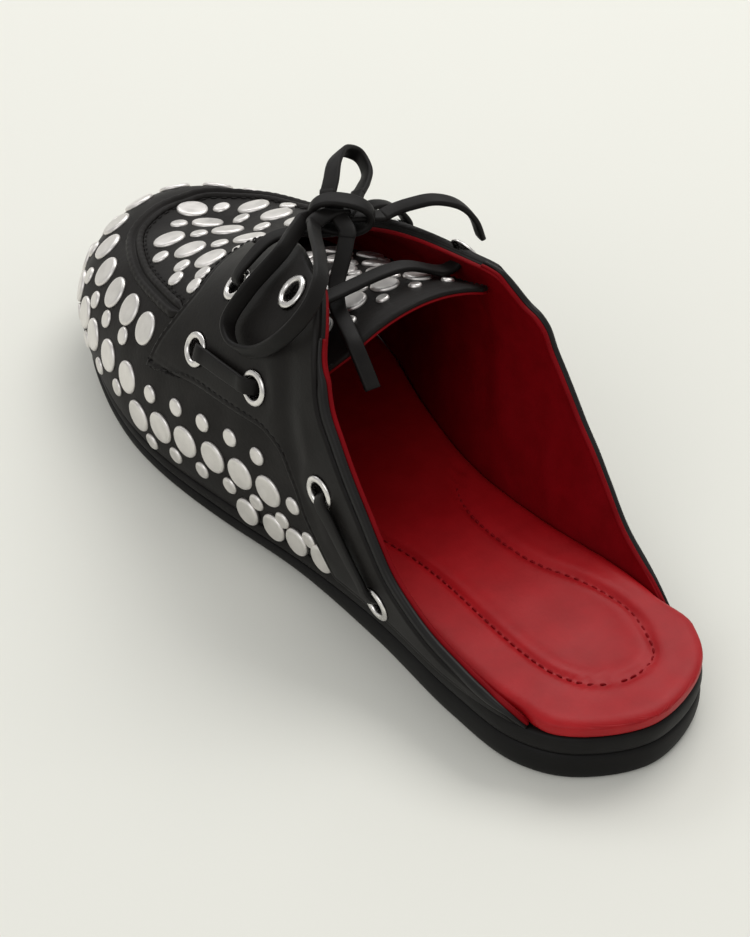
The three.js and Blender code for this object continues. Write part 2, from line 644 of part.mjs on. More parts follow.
// The tongue.
const tongueAt = Object.fromEntries(["x", "z", "fall", "lateral", "medial"].map((k) => [k, column(TONGUE, "y", k)]));
const tongue = (() => {
  const ys = [110.5, 111.2, 112, 114, 117, 124, 134, 145, 156, 167, 178, 188, 195, 200];
  const C = 10;
  const verts = [];
  const tris = [];
  const top = [];
  const low = [];
  ys.forEach((y) => {
    const t = [];
    const l = [];
    for (let c = 0; c <= C; c++) {
      const x = lerp(tongueAt.lateral(y), tongueAt.medial(y), c / C);
      const z = tongueAt.z(y) - tongueAt.fall(y) * (x - tongueAt.x(y)) ** 2;
      t.push(verts.push([x, y, z]) - 1);
      l.push(verts.push([x, y, z - TONGUE_T]) - 1);
    }
    top.push(t);
    low.push(l);
  });
  const R = ys.length;
  for (let r = 0; r + 1 < R; r++)
    for (let c = 0; c < C; c++) {
      tris.push([top[r][c], top[r][c + 1], top[r + 1][c + 1]], [top[r][c], top[r + 1][c + 1], top[r + 1][c]]);
      tris.push([low[r][c], low[r + 1][c + 1], low[r][c + 1]], [low[r][c], low[r + 1][c], low[r + 1][c + 1]]);
    }
  for (let r = 0; r + 1 < R; r++) {
    tris.push([top[r][0], top[r + 1][0], low[r + 1][0]], [top[r][0], low[r + 1][0], low[r][0]]);
    tris.push([top[r][C], low[r + 1][C], top[r + 1][C]], [top[r][C], low[r][C], low[r + 1][C]]);
  }
  for (let c = 0; c < C; c++) {
    tris.push([top[0][c], low[0][c + 1], top[0][c + 1]], [top[0][c], low[0][c], low[0][c + 1]]);
    tris.push([top[R - 1][c], top[R - 1][c + 1], low[R - 1][c + 1]], [top[R - 1][c], low[R - 1][c + 1], low[R - 1][c]]);
  }
  return solid(verts, tris);
})();
add("tongue", geometryOf(tongue), "leather");

// Eyelets: a rolled flange over the saddle and a barrel through the leather.
const seat = GAP + SADDLE_T + GAP + 0.1;
const eyeletProfile = [
  [EYELET_BORE, -WALL - 0.6],
  [EYELET_BORE + 0.4, -WALL - 0.6],
  [EYELET_BORE + 0.4, seat],
  [EYELET_R, seat],
  [EYELET_R - 0.5, seat + 0.7],
  [EYELET_BORE + 0.7, seat + 0.8],
  [EYELET_BORE, seat + 0.3],
];
for (const e of placed) add("eyelet_" + e.name, geometryOf(turned(eyeletProfile, 8, e.p, e.n)), "metal");

// Side lace: a bar at the front of each wall and one at the back.
const eye = Object.fromEntries(placed.map((e) => [e.name, e]));
for (const side of ["lateral", "medial"]) {
  add("lace_side_front_" + side, geometryOf(bar(eye["side_1_" + side], eye["side_2_" + side])), "leather");
  add("lace_side_rear_" + side, geometryOf(bar(eye["side_3_" + side], eye["side_4_" + side])), "leather");
}

// Crossings: a leg from each front eyelet up to the knot, the two joined below it, and a bar
// that runs inside from one rear eyelet to the other, over the tongue.
const KNOT = { x: 4, y: 147, z: 88, rx: 8, ry: 5, rz: 4.2 };
const UP = V(0, 0, 1);
function leg(e, rest) {
  const d = V(...rest[0]).sub(e.p);
  d.addScaledVector(e.n, -d.dot(e.n)).normalize();
  const start = [[0.2, -2.4], [0.3, 1.0], [0.9, 3.6]].map(([x, h]) => e.p.clone().addScaledVector(d, x).addScaledVector(e.n, h));
  const points = [...start, ...rest.map((p) => V(...p))];
  const back = d.clone().negate();
  const ups = [back, back, e.n.clone().add(back).normalize(), ...rest.map((_, i) => (i === 0 ? e.n.clone().add(UP).normalize() : UP))];
  return strip(points, ups, 18);
}
const crossing = leg(eye.front_lateral, [[-22, 153.8, 80], [-15.5, 154.2, 83], [-9, 152.2, 83.8], [-3, 149.3, 82.9], [3.5, 147.6, 82.3]]).add(
  leg(eye.front_medial, [[23.5, 152.6, 80], [17.5, 152.4, 83], [11.5, 151, 83.7], [7.5, 149.3, 82.9], [2.5, 147.4, 82.3]]),
);
add("lace_crossing", geometryOf(crossing), "leather");
const rearBar = (() => {
  const a = eye.rear_lateral;
  const b = eye.rear_medial;
  const d = b.p.clone().sub(a.p).normalize();
  const path = [[0.2, 0.9], [0.2, -1.4], [0.9, -3.3], [3.6, -3.9]];
  const points = path.map(([x, h]) => a.p.clone().addScaledVector(d, x).addScaledVector(a.n, h));
  points.push(V(8, (a.p.y + b.p.y) / 2, 80.6));
  points.push(...[...path].reverse().map(([x, h]) => b.p.clone().addScaledVector(d, -x).addScaledVector(b.n, h)));
  const ups = [d, d, d.clone().add(UP), UP, UP, UP, d.clone().negate().add(UP), d.clone().negate(), d.clone().negate()].map((q) => q.clone().normalize());
  return strip(points, ups, 18);
})();
add("lace_bar_rear", geometryOf(rearBar), "leather");

// The bow: knot, two loops and two ends, each loose piece along its own route.
const knot = new THREE.SphereGeometry(1, 12, 8);
knot.scale(KNOT.rx, KNOT.ry, KNOT.rz);
knot.translate(KNOT.x, KNOT.y, KNOT.z);
add("lace_knot", knot, "leather");
const ROUTES = {
  lace_loop_lateral: [
    [-7, 146.2, 88.8], [-13, 136, 92.6], [-19.8, 123, 94.6], [-25.2, 115.3, 93.8], [-30.5, 112.2, 89.8], [-35.8, 115.3, 81.6],
    [-39.3, 125.4, 71.6], [-40, 135.8, 68.4], [-37.8, 141.6, 70.8], [-31.6, 141, 79.4], [-20.5, 141.6, 87], [-13, 146.8, 87.6], [-7, 151.2, 87.4],
  ],
  lace_loop_medial: [
    [2.5, 153.6, 91], [5.8, 157, 92.4], [11, 163, 93.8], [17.5, 167.8, 92.6], [22, 167.4, 89.6], [21.3, 162.4, 87.4], [17, 157.6, 87], [12, 153.4, 87.3],
  ],
  lace_end_medial: [
    [14, 144, 85], [18, 143.9, 85.6], [23, 142.6, 86.4], [29, 140.4, 86.8], [35, 137.6, 84.6], [39.5, 136.2, 79.2], [42, 135.8, 72.4],
  ],
  lace_end_rear: [
    [0, 140, 87], [-4.5, 135.5, 83], [-9, 131.8, 78.6], [-13, 125.6, 76], [-16, 117.5, 76.2], [-18, 110.5, 75.4], [-18.3, 105.2, 70.8], [-18.5, 100.5, 66],
  ],
};
const CORD_STEPS = { lace_loop_lateral: 18, lace_loop_medial: 9, lace_end_medial: 6, lace_end_rear: 8 };
for (const [name, route] of Object.entries(ROUTES)) add(name, cord(route, CORD_STEPS[name]), "leather");

group.position.set(...SHIFT);

export default group;
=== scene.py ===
import bpy
import math
import numpy as np
from mathutils import Matrix, Vector


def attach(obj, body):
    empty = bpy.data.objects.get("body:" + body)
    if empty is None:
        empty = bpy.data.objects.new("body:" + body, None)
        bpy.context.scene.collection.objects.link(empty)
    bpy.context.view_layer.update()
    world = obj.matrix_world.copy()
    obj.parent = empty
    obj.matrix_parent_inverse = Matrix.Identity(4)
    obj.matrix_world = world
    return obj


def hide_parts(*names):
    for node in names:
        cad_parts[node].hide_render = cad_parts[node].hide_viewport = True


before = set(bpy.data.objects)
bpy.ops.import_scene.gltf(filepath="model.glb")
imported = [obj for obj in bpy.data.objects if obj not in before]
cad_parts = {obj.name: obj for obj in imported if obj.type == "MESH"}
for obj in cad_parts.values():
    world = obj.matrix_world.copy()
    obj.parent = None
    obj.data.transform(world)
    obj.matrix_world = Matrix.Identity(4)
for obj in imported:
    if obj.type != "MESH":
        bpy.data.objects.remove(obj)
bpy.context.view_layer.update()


# ---------------------------------------------------------------- the shoe's own sizes, millimetres
# x grows to the medial (inner) side, y from the heel tip to the toe, z up from the floor.
LENGTH, TOE_X, WALL, GAP, SADDLE_T = 262.0, 5.0, 2.4, 0.3, 1.3
LACE_W, LACE_T = 4.8, 1.8
SHIFT = np.array([0.954, -132.06, 0.0])
# t along the foot, lateral half width, medial half width
OUTLINE = [(0.03, -20.3, 21.1), (0.08, -29.7, 29.6), (0.17, -32.8, 31.2), (0.3, -32.9, 26.6), (0.42, -35.6, 26.2), (0.55, -41.4, 33.0),
           (0.66, -44.9, 41.0), (0.73, -44.8, 43.2), (0.81, -41.5, 42.2), (0.89, -34.8, 37.1), (0.95, -23.8, 29.1), (0.985, -10.2, 19.0)]
# y, height of the groove over the outsole, height of the rand's top
LEVELS = [(0, 8.7, 14.5), (60, 8.3, 13.8), (100, 6.6, 11.5), (140, 4.9, 8.9), (175, 4.0, 7.4), (200, 4.5, 7.8), (225, 6.6, 9.8), (245, 9.2, 12.4), (262, 12.6, 15.8)]
# y, ridge x, ridge z, squareness, lateral swell, medial swell, height of the medial swell
SECTIONS = [(20, 2, 96, 4.0, 3.2, 3.0, .8), (60, 3, 98, 4.0, 3.2, 7.0, 1.1), (90, 3, 100, 4.0, 3.4, 10.5, 1.3), (111, 3, 96, 3.7, 3.4, 9.0, 1.3),
            (130, 3, 89.5, 3.2, 3.2, 6.5, 1.2), (150, 2.5, 80.5, 2.9, 3.0, 4.0, .95), (173, 2.2, 67, 2.8, 3.0, 3.0, .7),
            (193, 2.4, 57.3, 2.75, 3.0, 3.2, .65), (206, 2.9, 51.8, 2.7, 3.0, 3.2, .65), (217, 3.5, 47.2, 2.65, 3.2, 3.2, .65), (226, 4, 45.2, 2.6, 3.2, 3.2, .65)]
RIDGE_FREE, RIDGE_END = 130.0, 226.0
FEATHER_IN = 0.5


def column(rows, k):
    x = np.array([r[0] for r in rows], float)
    y = np.array([r[k] for r in rows], float)
    m = np.gradient(y, x)

    def f(v):
        v = np.clip(np.asarray(v, float), x[0], x[-1])
        i = np.clip(np.searchsorted(x, v, side="left") - 1, 0, len(x) - 2)
        h = x[i + 1] - x[i]
        t = (v - x[i]) / h
        return ((2 * t**3 - 3 * t**2 + 1) * y[i] + (t**3 - 2 * t**2 + t) * h * m[i]
                + (-2 * t**3 + 3 * t**2) * y[i + 1] + (t**3 - t**2) * h * m[i + 1])

    return f


groove, rand_top = column(LEVELS, 1), column(LEVELS, 2)
ridge_x, ridge_z, square_at, swell_lat, swell_med, high_at = [column(SECTIONS, k) for k in range(1, 7)]


def under(y):
    y = np.asarray(y, float)
    arch = 1.4 * np.sin(np.pi * (y - 75) / 85) ** 2
    spring = 9 * (np.clip(y - 188, 0, None) / (LENGTH - 188)) ** 1.8
    return np.where(y < 75, 0, np.where(y < 160, arch, np.where(y < 188, 0, spring)))


def _squeeze():
    lo, hi = 10.0, 5000.0
    for _ in range(80):
        w = (lo + hi) / 2
        if RIDGE_FREE + w * (1 - np.exp(-(LENGTH - RIDGE_FREE) / w)) < RIDGE_END:
            lo = w
        else:
            hi = w
    return (lo + hi) / 2


SQUEEZE = _squeeze()


def ridge_y(y):
    return np.where(y < RIDGE_FREE, y, RIDGE_FREE + SQUEEZE * (1 - np.exp(-(np.maximum(y, RIDGE_FREE) - RIDGE_FREE) / SQUEEZE)))


def catmull(P, n, closed=False):
    """Centripetal Catmull-Rom through the points P, n steps a span."""
    P = np.array(P, float)
    m = len(P)
    out = []
    for i in (range(m) if closed else range(m - 1)):
        if closed:
            p0, p1, p2, p3 = P[(i - 1) % m], P[i], P[(i + 1) % m], P[(i + 2) % m]
        else:
            p1, p2 = P[i], P[i + 1]
            p0 = P[i - 1] if i > 0 else 2 * P[0] - P[1]
            p3 = P[i + 2] if i + 2 < m else 2 * P[-1] - P[-2]
        d1 = max(np.linalg.norm(p1 - p0) ** 0.5, 1e-4)
        d2 = max(np.linalg.norm(p2 - p1) ** 0.5, 1e-4)
        d3 = max(np.linalg.norm(p3 - p2) ** 0.5, 1e-4)
        t1 = ((p1 - p0) / d1 - (p2 - p0) / (d1 + d2) + (p2 - p1) / d2) * d2
        t2 = ((p2 - p1) / d2 - (p3 - p1) / (d2 + d3) + (p3 - p2) / d3) * d2
        t = (np.arange(n) / n)[:, None]
        out.append((2 * t**3 - 3 * t**2 + 1) * p1 + (t**3 - 2 * t**2 + t) * t1 + (-2 * t**3 + 3 * t**2) * p2 + (t**3 - t**2) * t2)
    if not closed:
        out.append(P[-1:])
    return np.concatenate(out)


RING = catmull([(0, 0)] + [(r[1], r[0] * LENGTH) for r in OUTLINE] + [(TOE_X, LENGTH)] + [(r[2], r[0] * LENGTH) for r in OUTLINE[::-1]], 40, True)
_inset = {}


def inset_outline(k):
    if k not in _inset:
        T = np.roll(RING, -1, 0) - np.roll(RING, 1, 0)
        T /= np.linalg.norm(T, axis=1)[:, None]
        P = RING + np.stack([T[:, 1], -T[:, 0]], 1) * k
        lo, hi, n = int(np.argmin(P[:, 1])), int(np.argmax(P[:, 1])), len(P)
        lat = P[[(lo + i) % n for i in range((hi - lo) % n + 1)]]
        med = P[[(hi + i) % n for i in range((lo - hi) % n + 1)]][::-1]
        _inset[k] = (P[lo, 1], P[hi, 1], lat, med)
    return _inset[k]


def foot_at(k, u):
    """Point of the sole's outline, k inside its edge: u 0 heel tip, 0.5 toe tip, 1 heel tip, lateral side first."""
    u = np.asarray(u, float) % 1.0
    y0, y1, lat, med = inset_outline(k)
    s = np.where(u <= 0.5, 2 * u, 2 * (1 - u))
    y = y0 + (y1 - y0) * (1 - np.cos(np.pi * s)) / 2
    x = np.where(u <= 0.5, np.interp(y, lat[:, 1], lat[:, 0]), np.interp(y, med[:, 1], med[:, 0]))
    return np.stack([x, y], -1)


def skin(u, w):
    """The upper's outer surface: u round the foot, w from 0 at the sole to 1 on the ridge."""
    u, w = np.broadcast_arrays(np.asarray(u, float) % 1.0, np.asarray(w, float))
    f = foot_at(FEATHER_IN, u)
    e = 2e-3
    t = foot_at(FEATHER_IN, u + e) - foot_at(FEATHER_IN, u - e)
    t = t / np.linalg.norm(t, axis=-1, keepdims=True)
    nx, ny = -t[..., 1], t[..., 0]
    fx, fy = f[..., 0], f[..., 1]
    ry = ridge_y(fy)
    n = square_at(ry)
    w = np.clip(w, 0.0, 1.0)
    k = w / np.maximum(1 - w, 1e-9)
    c = np.where(w >= 1, 0.0, (1 + np.minimum(k, 1e6) ** n) ** (-1 / n))
    v = np.where(w >= 1, 1.0, np.minimum(k * c, 1.0))
    toe = np.clip((fy - 200) / 50, 0, 1)
    lat = u <= 0.5
    high = np.where(lat, 0.65, high_at(ry) * (1 - toe) + 0.65 * toe)
    swell = np.where(lat, swell_lat(ry), swell_med(ry)) * np.sin(np.pi * v**high)
    z0 = rand_top(fy) + GAP
    return np.stack([fx + (ridge_x(ry) - fx) * (1 - c) + nx * swell, fy + (ry - fy) * (1 - c) + ny * swell, z0 + (ridge_z(ry) - z0) * v], -1)


def skin_normal(u, w):
    u, w = np.broadcast_arrays(np.asarray(u, float) % 1.0, np.asarray(w, float))
    e = 1e-3
    ww = np.clip(w, e, 1 - e)
    du = skin(u + e, ww) - skin(u - e, ww)
    dw = skin(u, ww + e * 0.9) - skin(u, ww - e * 0.9)
    n = np.cross(dw, du)
    n = n / np.maximum(np.linalg.norm(n, axis=-1, keepdims=True), 1e-12)
    y = ridge_y(foot_at(FEATHER_IN, np.where(u <= 0.5, u, 1 - u))[..., 1])
    r = np.stack([np.zeros_like(y), -(ridge_z(y + 0.5) - ridge_z(y - 0.5)), np.ones_like(y)], -1)
    r /= np.linalg.norm(r, axis=-1, keepdims=True)
    a = np.clip((w - 0.985) / 0.014, 0, 1)[..., None]
    n = n * (1 - a) + r * a
    return n / np.linalg.norm(n, axis=-1, keepdims=True)


def on_skin(u, w, off=0.0):
    return skin(u, w) + skin_normal(u, w) * np.asarray(off, float)[..., None]


def find(side, axes, target, guess=None):
    """(u, w) of the skin's points whose coordinates on two axes are the target's, by Newton steps."""
    T = np.atleast_2d(np.asarray(target, float))
    if guess is None:
        u = np.full(len(T), 0.3 if side < 0 else 0.7)
        w = np.full(len(T), 0.45)
        if "y" in axes:
            s = np.arccos(1 - 2 * np.clip(T[:, axes.index("y")] / LENGTH, 0.01, 0.97)) / np.pi
            u = s / 2 if side < 0 else 1 - s / 2
    else:
        u, w = (np.array(g, float) * np.ones(len(T)) for g in guess)
    ax = ["xyz".index(a) for a in axes]
    for _ in range(80):
        p = skin(u, w)[:, ax]
        e = 1e-5
        pu = (skin(u + e, w)[:, ax] - p) / e
        pw = (skin(u, np.minimum(w + e, 1))[:, ax] - skin(u, np.maximum(w - e, 0))[:, ax]) / (np.minimum(w + e, 1) - np.maximum(w - e, 0))[:, None]
        r = T - p
        det = pu[:, 0] * pw[:, 1] - pu[:, 1] * pw[:, 0]
        det = np.where(np.abs(det) < 1e-9, 1e-9, det)
        du = (r[:, 0] * pw[:, 1] - r[:, 1] * pw[:, 0]) / det
        dw = (r[:, 1] * pu[:, 0] - r[:, 0] * pu[:, 1]) / det
        g = np.minimum(1, np.minimum(0.03 / np.maximum(np.abs(du), 1e-12), 0.06 / np.maximum(np.abs(dw), 1e-12)))
        u = u + du * g
        w = np.clip(w + dw * g, 1e-4, 0.99999)
    return u, w


# ---------------------------------------------------------------- small helpers
def M(P):
    """Shoe millimetres to the frame's metres."""
    return (np.asarray(P, float) + SHIFT) * 0.001


def unit(v):
    v = np.asarray(v, float)
    return v / np.maximum(np.linalg.norm(v, axis=-1, keepdims=True), 1e-12)


def arc(P):
    return np.concatenate([[0.0], np.cumsum(np.linalg.norm(np.diff(P, axis=0), axis=1))])


def resample(P, n, key=None):
    """n points evenly along P; key is another array on the same points to resample with it."""
    s = arc(P)
    t = np.linspace(0, s[-1], n)
    out = np.stack([np.interp(t, s, P[:, i]) for i in range(P.shape[1])], 1)
    if key is None:
        return out
    return out, np.stack([np.interp(t, s, key[:, i]) for i in range(key.shape[1])], 1)


def smooth01(x):
    x = np.clip(x, 0, 1)
    return x * x * (3 - 2 * x)


def piece(name, verts, faces, mats, slot=None, face_mat=None, flat=False, replaces=()):
    """A mesh piece from shoe millimetres, riding on the frame."""
    me = bpy.data.meshes.new(name)
    V = M(verts)
    F = [tuple(int(i) for i in f) for f in faces]
    me.from_pydata([tuple(v) for v in V], [], F)
    for m in mats if isinstance(mats, (list, tuple)) else [mats]:
        me.materials.append(m)
    if face_mat is not None:
        me.polygons.foreach_set("material_index", np.asarray(face_mat, np.int32))
    me.polygons.foreach_set("use_smooth", np.full(len(me.polygons), not flat))
    me.validate()
    me.update()
    ob = bpy.data.objects.new(name, me)
    bpy.context.scene.collection.objects.link(ob)
    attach(ob, "root")
    if replaces:
        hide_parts(*replaces)
    return ob


def grid_faces(nr, nc, start=0, close=False, flip=False):
    """Quads of a grid of nr rows by nc columns; close joins the last column to the first."""
    i, j = np.meshgrid(np.arange(nr - 1), np.arange(nc if close else nc - 1), indexing="ij")
    i, j = i.ravel(), j.ravel()
    k = (j + 1) % nc
    q = np.stack([i * nc + j, i * nc + k, (i + 1) * nc + k, (i + 1) * nc + j], 1) + start
    return q[:, ::-1] if flip else q


class Soup:
    """Collects closed bits for one joined mesh."""

    def __init__(self):
        self.V, self.F, self.n = [], [], 0

    def add(self, V, F):
        self.V.append(np.asarray(V, float))
        self.F.extend([tuple(int(i) + self.n for i in f) for f in F])
        self.n += len(V)

    def done(self, name, mats, **k):
        return piece(name, np.concatenate(self.V), self.F, mats, **k)


# ---------------------------------------------------------------- materials
def new_material(name):
    m = bpy.data.materials.new(name)
    m.use_nodes = True
    nt = m.node_tree
    return m, nt, nt.nodes["Principled BSDF"]


def leather(name, dark, light, rough=(0.42, 0.55), grain=900.0, pores=0.35, depth=0.06, spec=0.35, coat=0.06, coat_rough=0.35, wear=120.0, soft=0.0):
    """Leather: grain and pores as bump, a mottled colour, and a gloss that varies with handling."""
    m, nt, b = new_material(name)
    N, L = nt.nodes, nt.links
    tc = N.new("ShaderNodeTexCoord")
    mottle = N.new("ShaderNodeTexNoise")
    mottle.inputs["Scale"].default_value = wear
    mottle.inputs["Detail"].default_value = 6
    mottle.inputs["Roughness"].default_value = 0.6
    L.new(tc.outputs["Object"], mottle.inputs["Vector"])
    ramp = N.new("ShaderNodeValToRGB")
    ramp.color_ramp.elements[0].position = 0.3
    ramp.color_ramp.elements[0].color = (*dark, 1)
    ramp.color_ramp.elements[1].position = 0.72
    ramp.color_ramp.elements[1].color = (*light, 1)
    L.new(mottle.outputs["Fac"], ramp.inputs["Fac"])
    L.new(ramp.outputs["Color"], b.inputs["Base Color"])
    gloss = N.new("ShaderNodeTexNoise")
    gloss.inputs["Scale"].default_value = wear * 0.45
    gloss.inputs["Detail"].default_value = 4
    L.new(tc.outputs["Object"], gloss.inputs["Vector"])
    mr = N.new("ShaderNodeMapRange")
    mr.inputs["From Min"].default_value = 0.3
    mr.inputs["From Max"].default_value = 0.7
    mr.inputs["To Min"].default_value = rough[0]
    mr.inputs["To Max"].default_value = rough[1]
    L.new(gloss.outputs["Fac"], mr.inputs["Value"])
    L.new(mr.outputs["Result"], b.inputs["Roughness"])
    # pebbled grain, with finer pores between the pebbles
    vor = N.new("ShaderNodeTexVoronoi")
    vor.feature = "SMOOTH_F1"
    vor.inputs["Scale"].default_value = grain
    vor.inputs["Smoothness"].default_value = 0.7
    L.new(tc.outputs["Object"], vor.inputs["Vector"])
    fine = N.new("ShaderNodeTexNoise")
    fine.inputs["Scale"].default_value = grain * 2.6
    fine.inputs["Detail"].default_value = 3
    L.new(tc.outputs["Object"], fine.inputs["Vector"])
    fold = N.new("ShaderNodeTexNoise")
    fold.inputs["Scale"].default_value = grain * 0.16
    fold.inputs["Detail"].default_value = 4
    fold.inputs["Distortion"].default_value = 0.6
    L.new(tc.outputs["Object"], fold.inputs["Vector"])
    a1 = N.new("ShaderNodeMath")
    a1.operation = "MULTIPLY_ADD"
    a1.inputs[1].default_value = pores
    L.new(fine.outputs["Fac"], a1.inputs[0])
    L.new(vor.outputs["Distance"], a1.inputs[2])
    a2 = N.new("ShaderNodeMath")
    a2.operation = "MULTIPLY_ADD"
    a2.inputs[1].default_value = 0.9
    L.new(fold.outputs["Fac"], a2.inputs[0])
    L.new(a1.outputs[0], a2.inputs[2])
    bump = N.new("ShaderNodeBump")
    bump.inputs["Strength"].default_value = 0.55
    bump.inputs["Distance"].default_value = depth * 0.001
    L.new(a2.outputs[0], bump.inputs["Height"])
    L.new(bump.outputs["Normal"], b.inputs["Normal"])
    b.inputs["Specular IOR Level"].default_value = spec
    b.inputs["Coat Weight"].default_value = coat
    b.inputs["Coat Roughness"].default_value = coat_rough
    if soft:
        b.inputs["Sheen Weight"].default_value = soft
        b.inputs["Sheen Roughness"].default_value = 0.5
    return m


def metal(name, colour=(0.83, 0.80, 0.77), rough=(0.2, 0.34), scale=260.0, depth=0.012):
    m, nt, b = new_material(name)
    N, L = nt.nodes, nt.links
    tc = N.new("ShaderNodeTexCoord")
    n1 = N.new("ShaderNodeTexNoise")
    n1.inputs["Scale"].default_value = scale
    n1.inputs["Detail"].default_value = 5
    L.new(tc.outputs["Object"], n1.inputs["Vector"])
    mr = N.new("ShaderNodeMapRange")
    mr.inputs["From Min"].default_value = 0.3
    mr.inputs["From Max"].default_value = 0.7
    mr.inputs["To Min"].default_value = rough[0]
    mr.inputs["To Max"].default_value = rough[1]
    L.new(n1.outputs["Fac"], mr.inputs["Value"])
    L.new(mr.outputs["Result"], b.inputs["Roughness"])
    ramp = N.new("ShaderNodeValToRGB")
    ramp.color_ramp.elements[0].position = 0.25
    ramp.color_ramp.elements[0].color = (colour[0] * 0.86, colour[1] * 0.86, colour[2] * 0.86, 1)
    ramp.color_ramp.elements[1].position = 0.6
    ramp.color_ramp.elements[1].color = (*colour, 1)
    L.new(n1.outputs["Fac"], ramp.inputs["Fac"])
    L.new(ramp.outputs["Color"], b.inputs["Base Color"])
    b.inputs["Metallic"].default_value = 1.0
    bump = N.new("ShaderNodeBump")
    bump.inputs["Strength"].default_value = 0.4
    bump.inputs["Distance"].default_value = depth * 0.001
    n2 = N.new("ShaderNodeTexNoise")
    n2.inputs["Scale"].default_value = scale * 5
    n2.inputs["Detail"].default_value = 2
    L.new(tc.outputs["Object"], n2.inputs["Vector"])
    L.new(n2.outputs["Fac"], bump.inputs["Height"])
    L.new(bump.outputs["Normal"], b.inputs["Normal"])
    return m


calf = leather("calf_black_grain", (0.0062, 0.0052, 0.0047), (0.0112, 0.0095, 0.0087), rough=(0.5, 0.64), grain=850, depth=0.08, spec=0.13, coat=0.02)
saddle_calf = leather("calf_black_smooth", (0.0052, 0.0044, 0.004), (0.009, 0.0076, 0.0069), rough=(0.44, 0.58), grain=1300, depth=0.045, spec=0.13, coat=0.035)
edge_black = leather("edge_black", (0.0058, 0.0052, 0.005), (0.0092, 0.0084, 0.008), rough=(0.38, 0.5), grain=1600, depth=0.02, spec=0.2, coat=0.04)
# painted shade: the lining is the same red leather as the footbed, but its colour is set about half as bright to stand
# in for the shade inside the shoe
lining_red_painted_shade = leather("lining_red_painted_shade", (0.150, 0.0008, 0.0028), (0.205, 0.0016, 0.0048), rough=(0.52, 0.64), grain=1000, depth=0.045, spec=0.08, coat=0.0)
bed_red = leather("footbed_red", (0.30, 0.0035, 0.0064), (0.375, 0.006, 0.0098), rough=(0.4, 0.52), grain=900, depth=0.06, spec=0.2, coat=0.05, coat_rough=0.4)
lace_calf = leather("lace_leather", (0.0052, 0.0046, 0.0043), (0.0085, 0.0075, 0.007), rough=(0.46, 0.6), grain=1700, depth=0.035, spec=0.14, coat=0.02)
rubber = leather("sole_rubber", (0.0048, 0.0045, 0.0043), (0.0074, 0.007, 0.0068), rough=(0.5, 0.62), grain=2400, depth=0.012, spec=0.15, coat=0.0, pores=0.8, wear=60)
rand_calf = leather("rand_leather", (0.0052, 0.0046, 0.0043), (0.008, 0.0071, 0.0067), rough=(0.44, 0.58), grain=1300, depth=0.035, spec=0.14, coat=0.02)
thread_black = leather("thread_black", (0.0085, 0.0078, 0.0074), (0.016, 0.0148, 0.014), rough=(0.6, 0.75), grain=4200, depth=0.03, spec=0.18, coat=0.0)
thread_red = leather("thread_red", (0.19, 0.0022, 0.005), (0.25, 0.004, 0.008), rough=(0.6, 0.75), grain=4200, depth=0.03, spec=0.12, coat=0.0)
silver = metal("silver_satin", colour=(0.80, 0.775, 0.75), rough=(0.36, 0.5))
silver_bright = metal("silver_bright", colour=(0.78, 0.76, 0.74), rough=(0.2, 0.32), scale=420, depth=0.008)

# ---------------------------------------------------------------- camera: the photograph's angle to the shoe
CAMERA = np.array([-292.2, -304.2, 433.2])
AIM = np.array([-6.0, 118.0, 22.0])
FOCAL_PX = 2330.0
cam_data = bpy.data.cameras.new("camera")
cam_data.sensor_fit = "AUTO"
cam_data.sensor_width = 36.0
cam_data.lens = FOCAL_PX * 36.0 / 937.0
cam_data.clip_start = 0.01
cam_data.clip_end = 50.0
camera = bpy.data.objects.new("camera", cam_data)
bpy.context.scene.collection.objects.link(camera)
eye_m, aim_m = Vector(M(CAMERA)), Vector(M(AIM))
camera.location = eye_m
camera.rotation_euler = (aim_m - eye_m).to_track_quat("-Z", "Y").to_euler()
bpy.context.scene.camera = camera


# ---------------------------------------------------------------- laces
def section(width, thick, edge=0.42):
    """A flat lace's cut: rounded sides, faintly crowned faces."""
    pts = []
    r = thick * edge
    for cx, cy, a0 in ((width / 2 - r, thick / 2 - r, 0), (-width / 2 + r, thick / 2 - r, 90), (-width / 2 + r, -thick / 2 + r, 180), (width / 2 - r, -thick / 2 + r, 270)):
        for a in (0, 30, 60, 90):
            t = math.radians(a0 + a)
            pts.append((cx + r * math.cos(t), cy + r * math.sin(t)))
        if a0 in (0, 180):
            s = 1 if a0 == 0 else -1
            pts.append((0.0, s * (thick / 2 + 0.06)))
    return np.array(pts)


def ribbon(points, sides, width=LACE_W, thick=LACE_T, step=0.8, cap=True):
    """A flat lace along points; sides are its width directions at those points. Gives verts, faces, centreline."""
    points, sides = np.array(points, float), unit(np.array(sides, float))
    fine = catmull(points, 24)
    ss = catmull(sides, 24)
    P, W = resample(fine, max(int(arc(fine)[-1] / step), 8) + 1, ss)
    T = unit(np.gradient(P, axis=0))
    W = unit(W - (W * T).sum(1, keepdims=True) * T)
    U = np.cross(T, W)
    S = section(width, thick)
    n = len(P)
    V = P[:, None, :] + W[:, None, :] * S[None, :, :1] + U[:, None, :] * S[None, :, 1:]
    m = len(S)
    V = V.reshape(-1, 3)
    F = [tuple(q) for q in grid_faces(n, m, close=True, flip=True)]
    V = np.concatenate([V, P[:1], P[-1:]])
    a, b = n * m, n * m + 1
    for k in range(m):
        F.append((a, k, (k + 1) % m))
        F.append((b, (n - 1) * m + (k + 1) % m, (n - 1) * m + k))
    return V, F, P


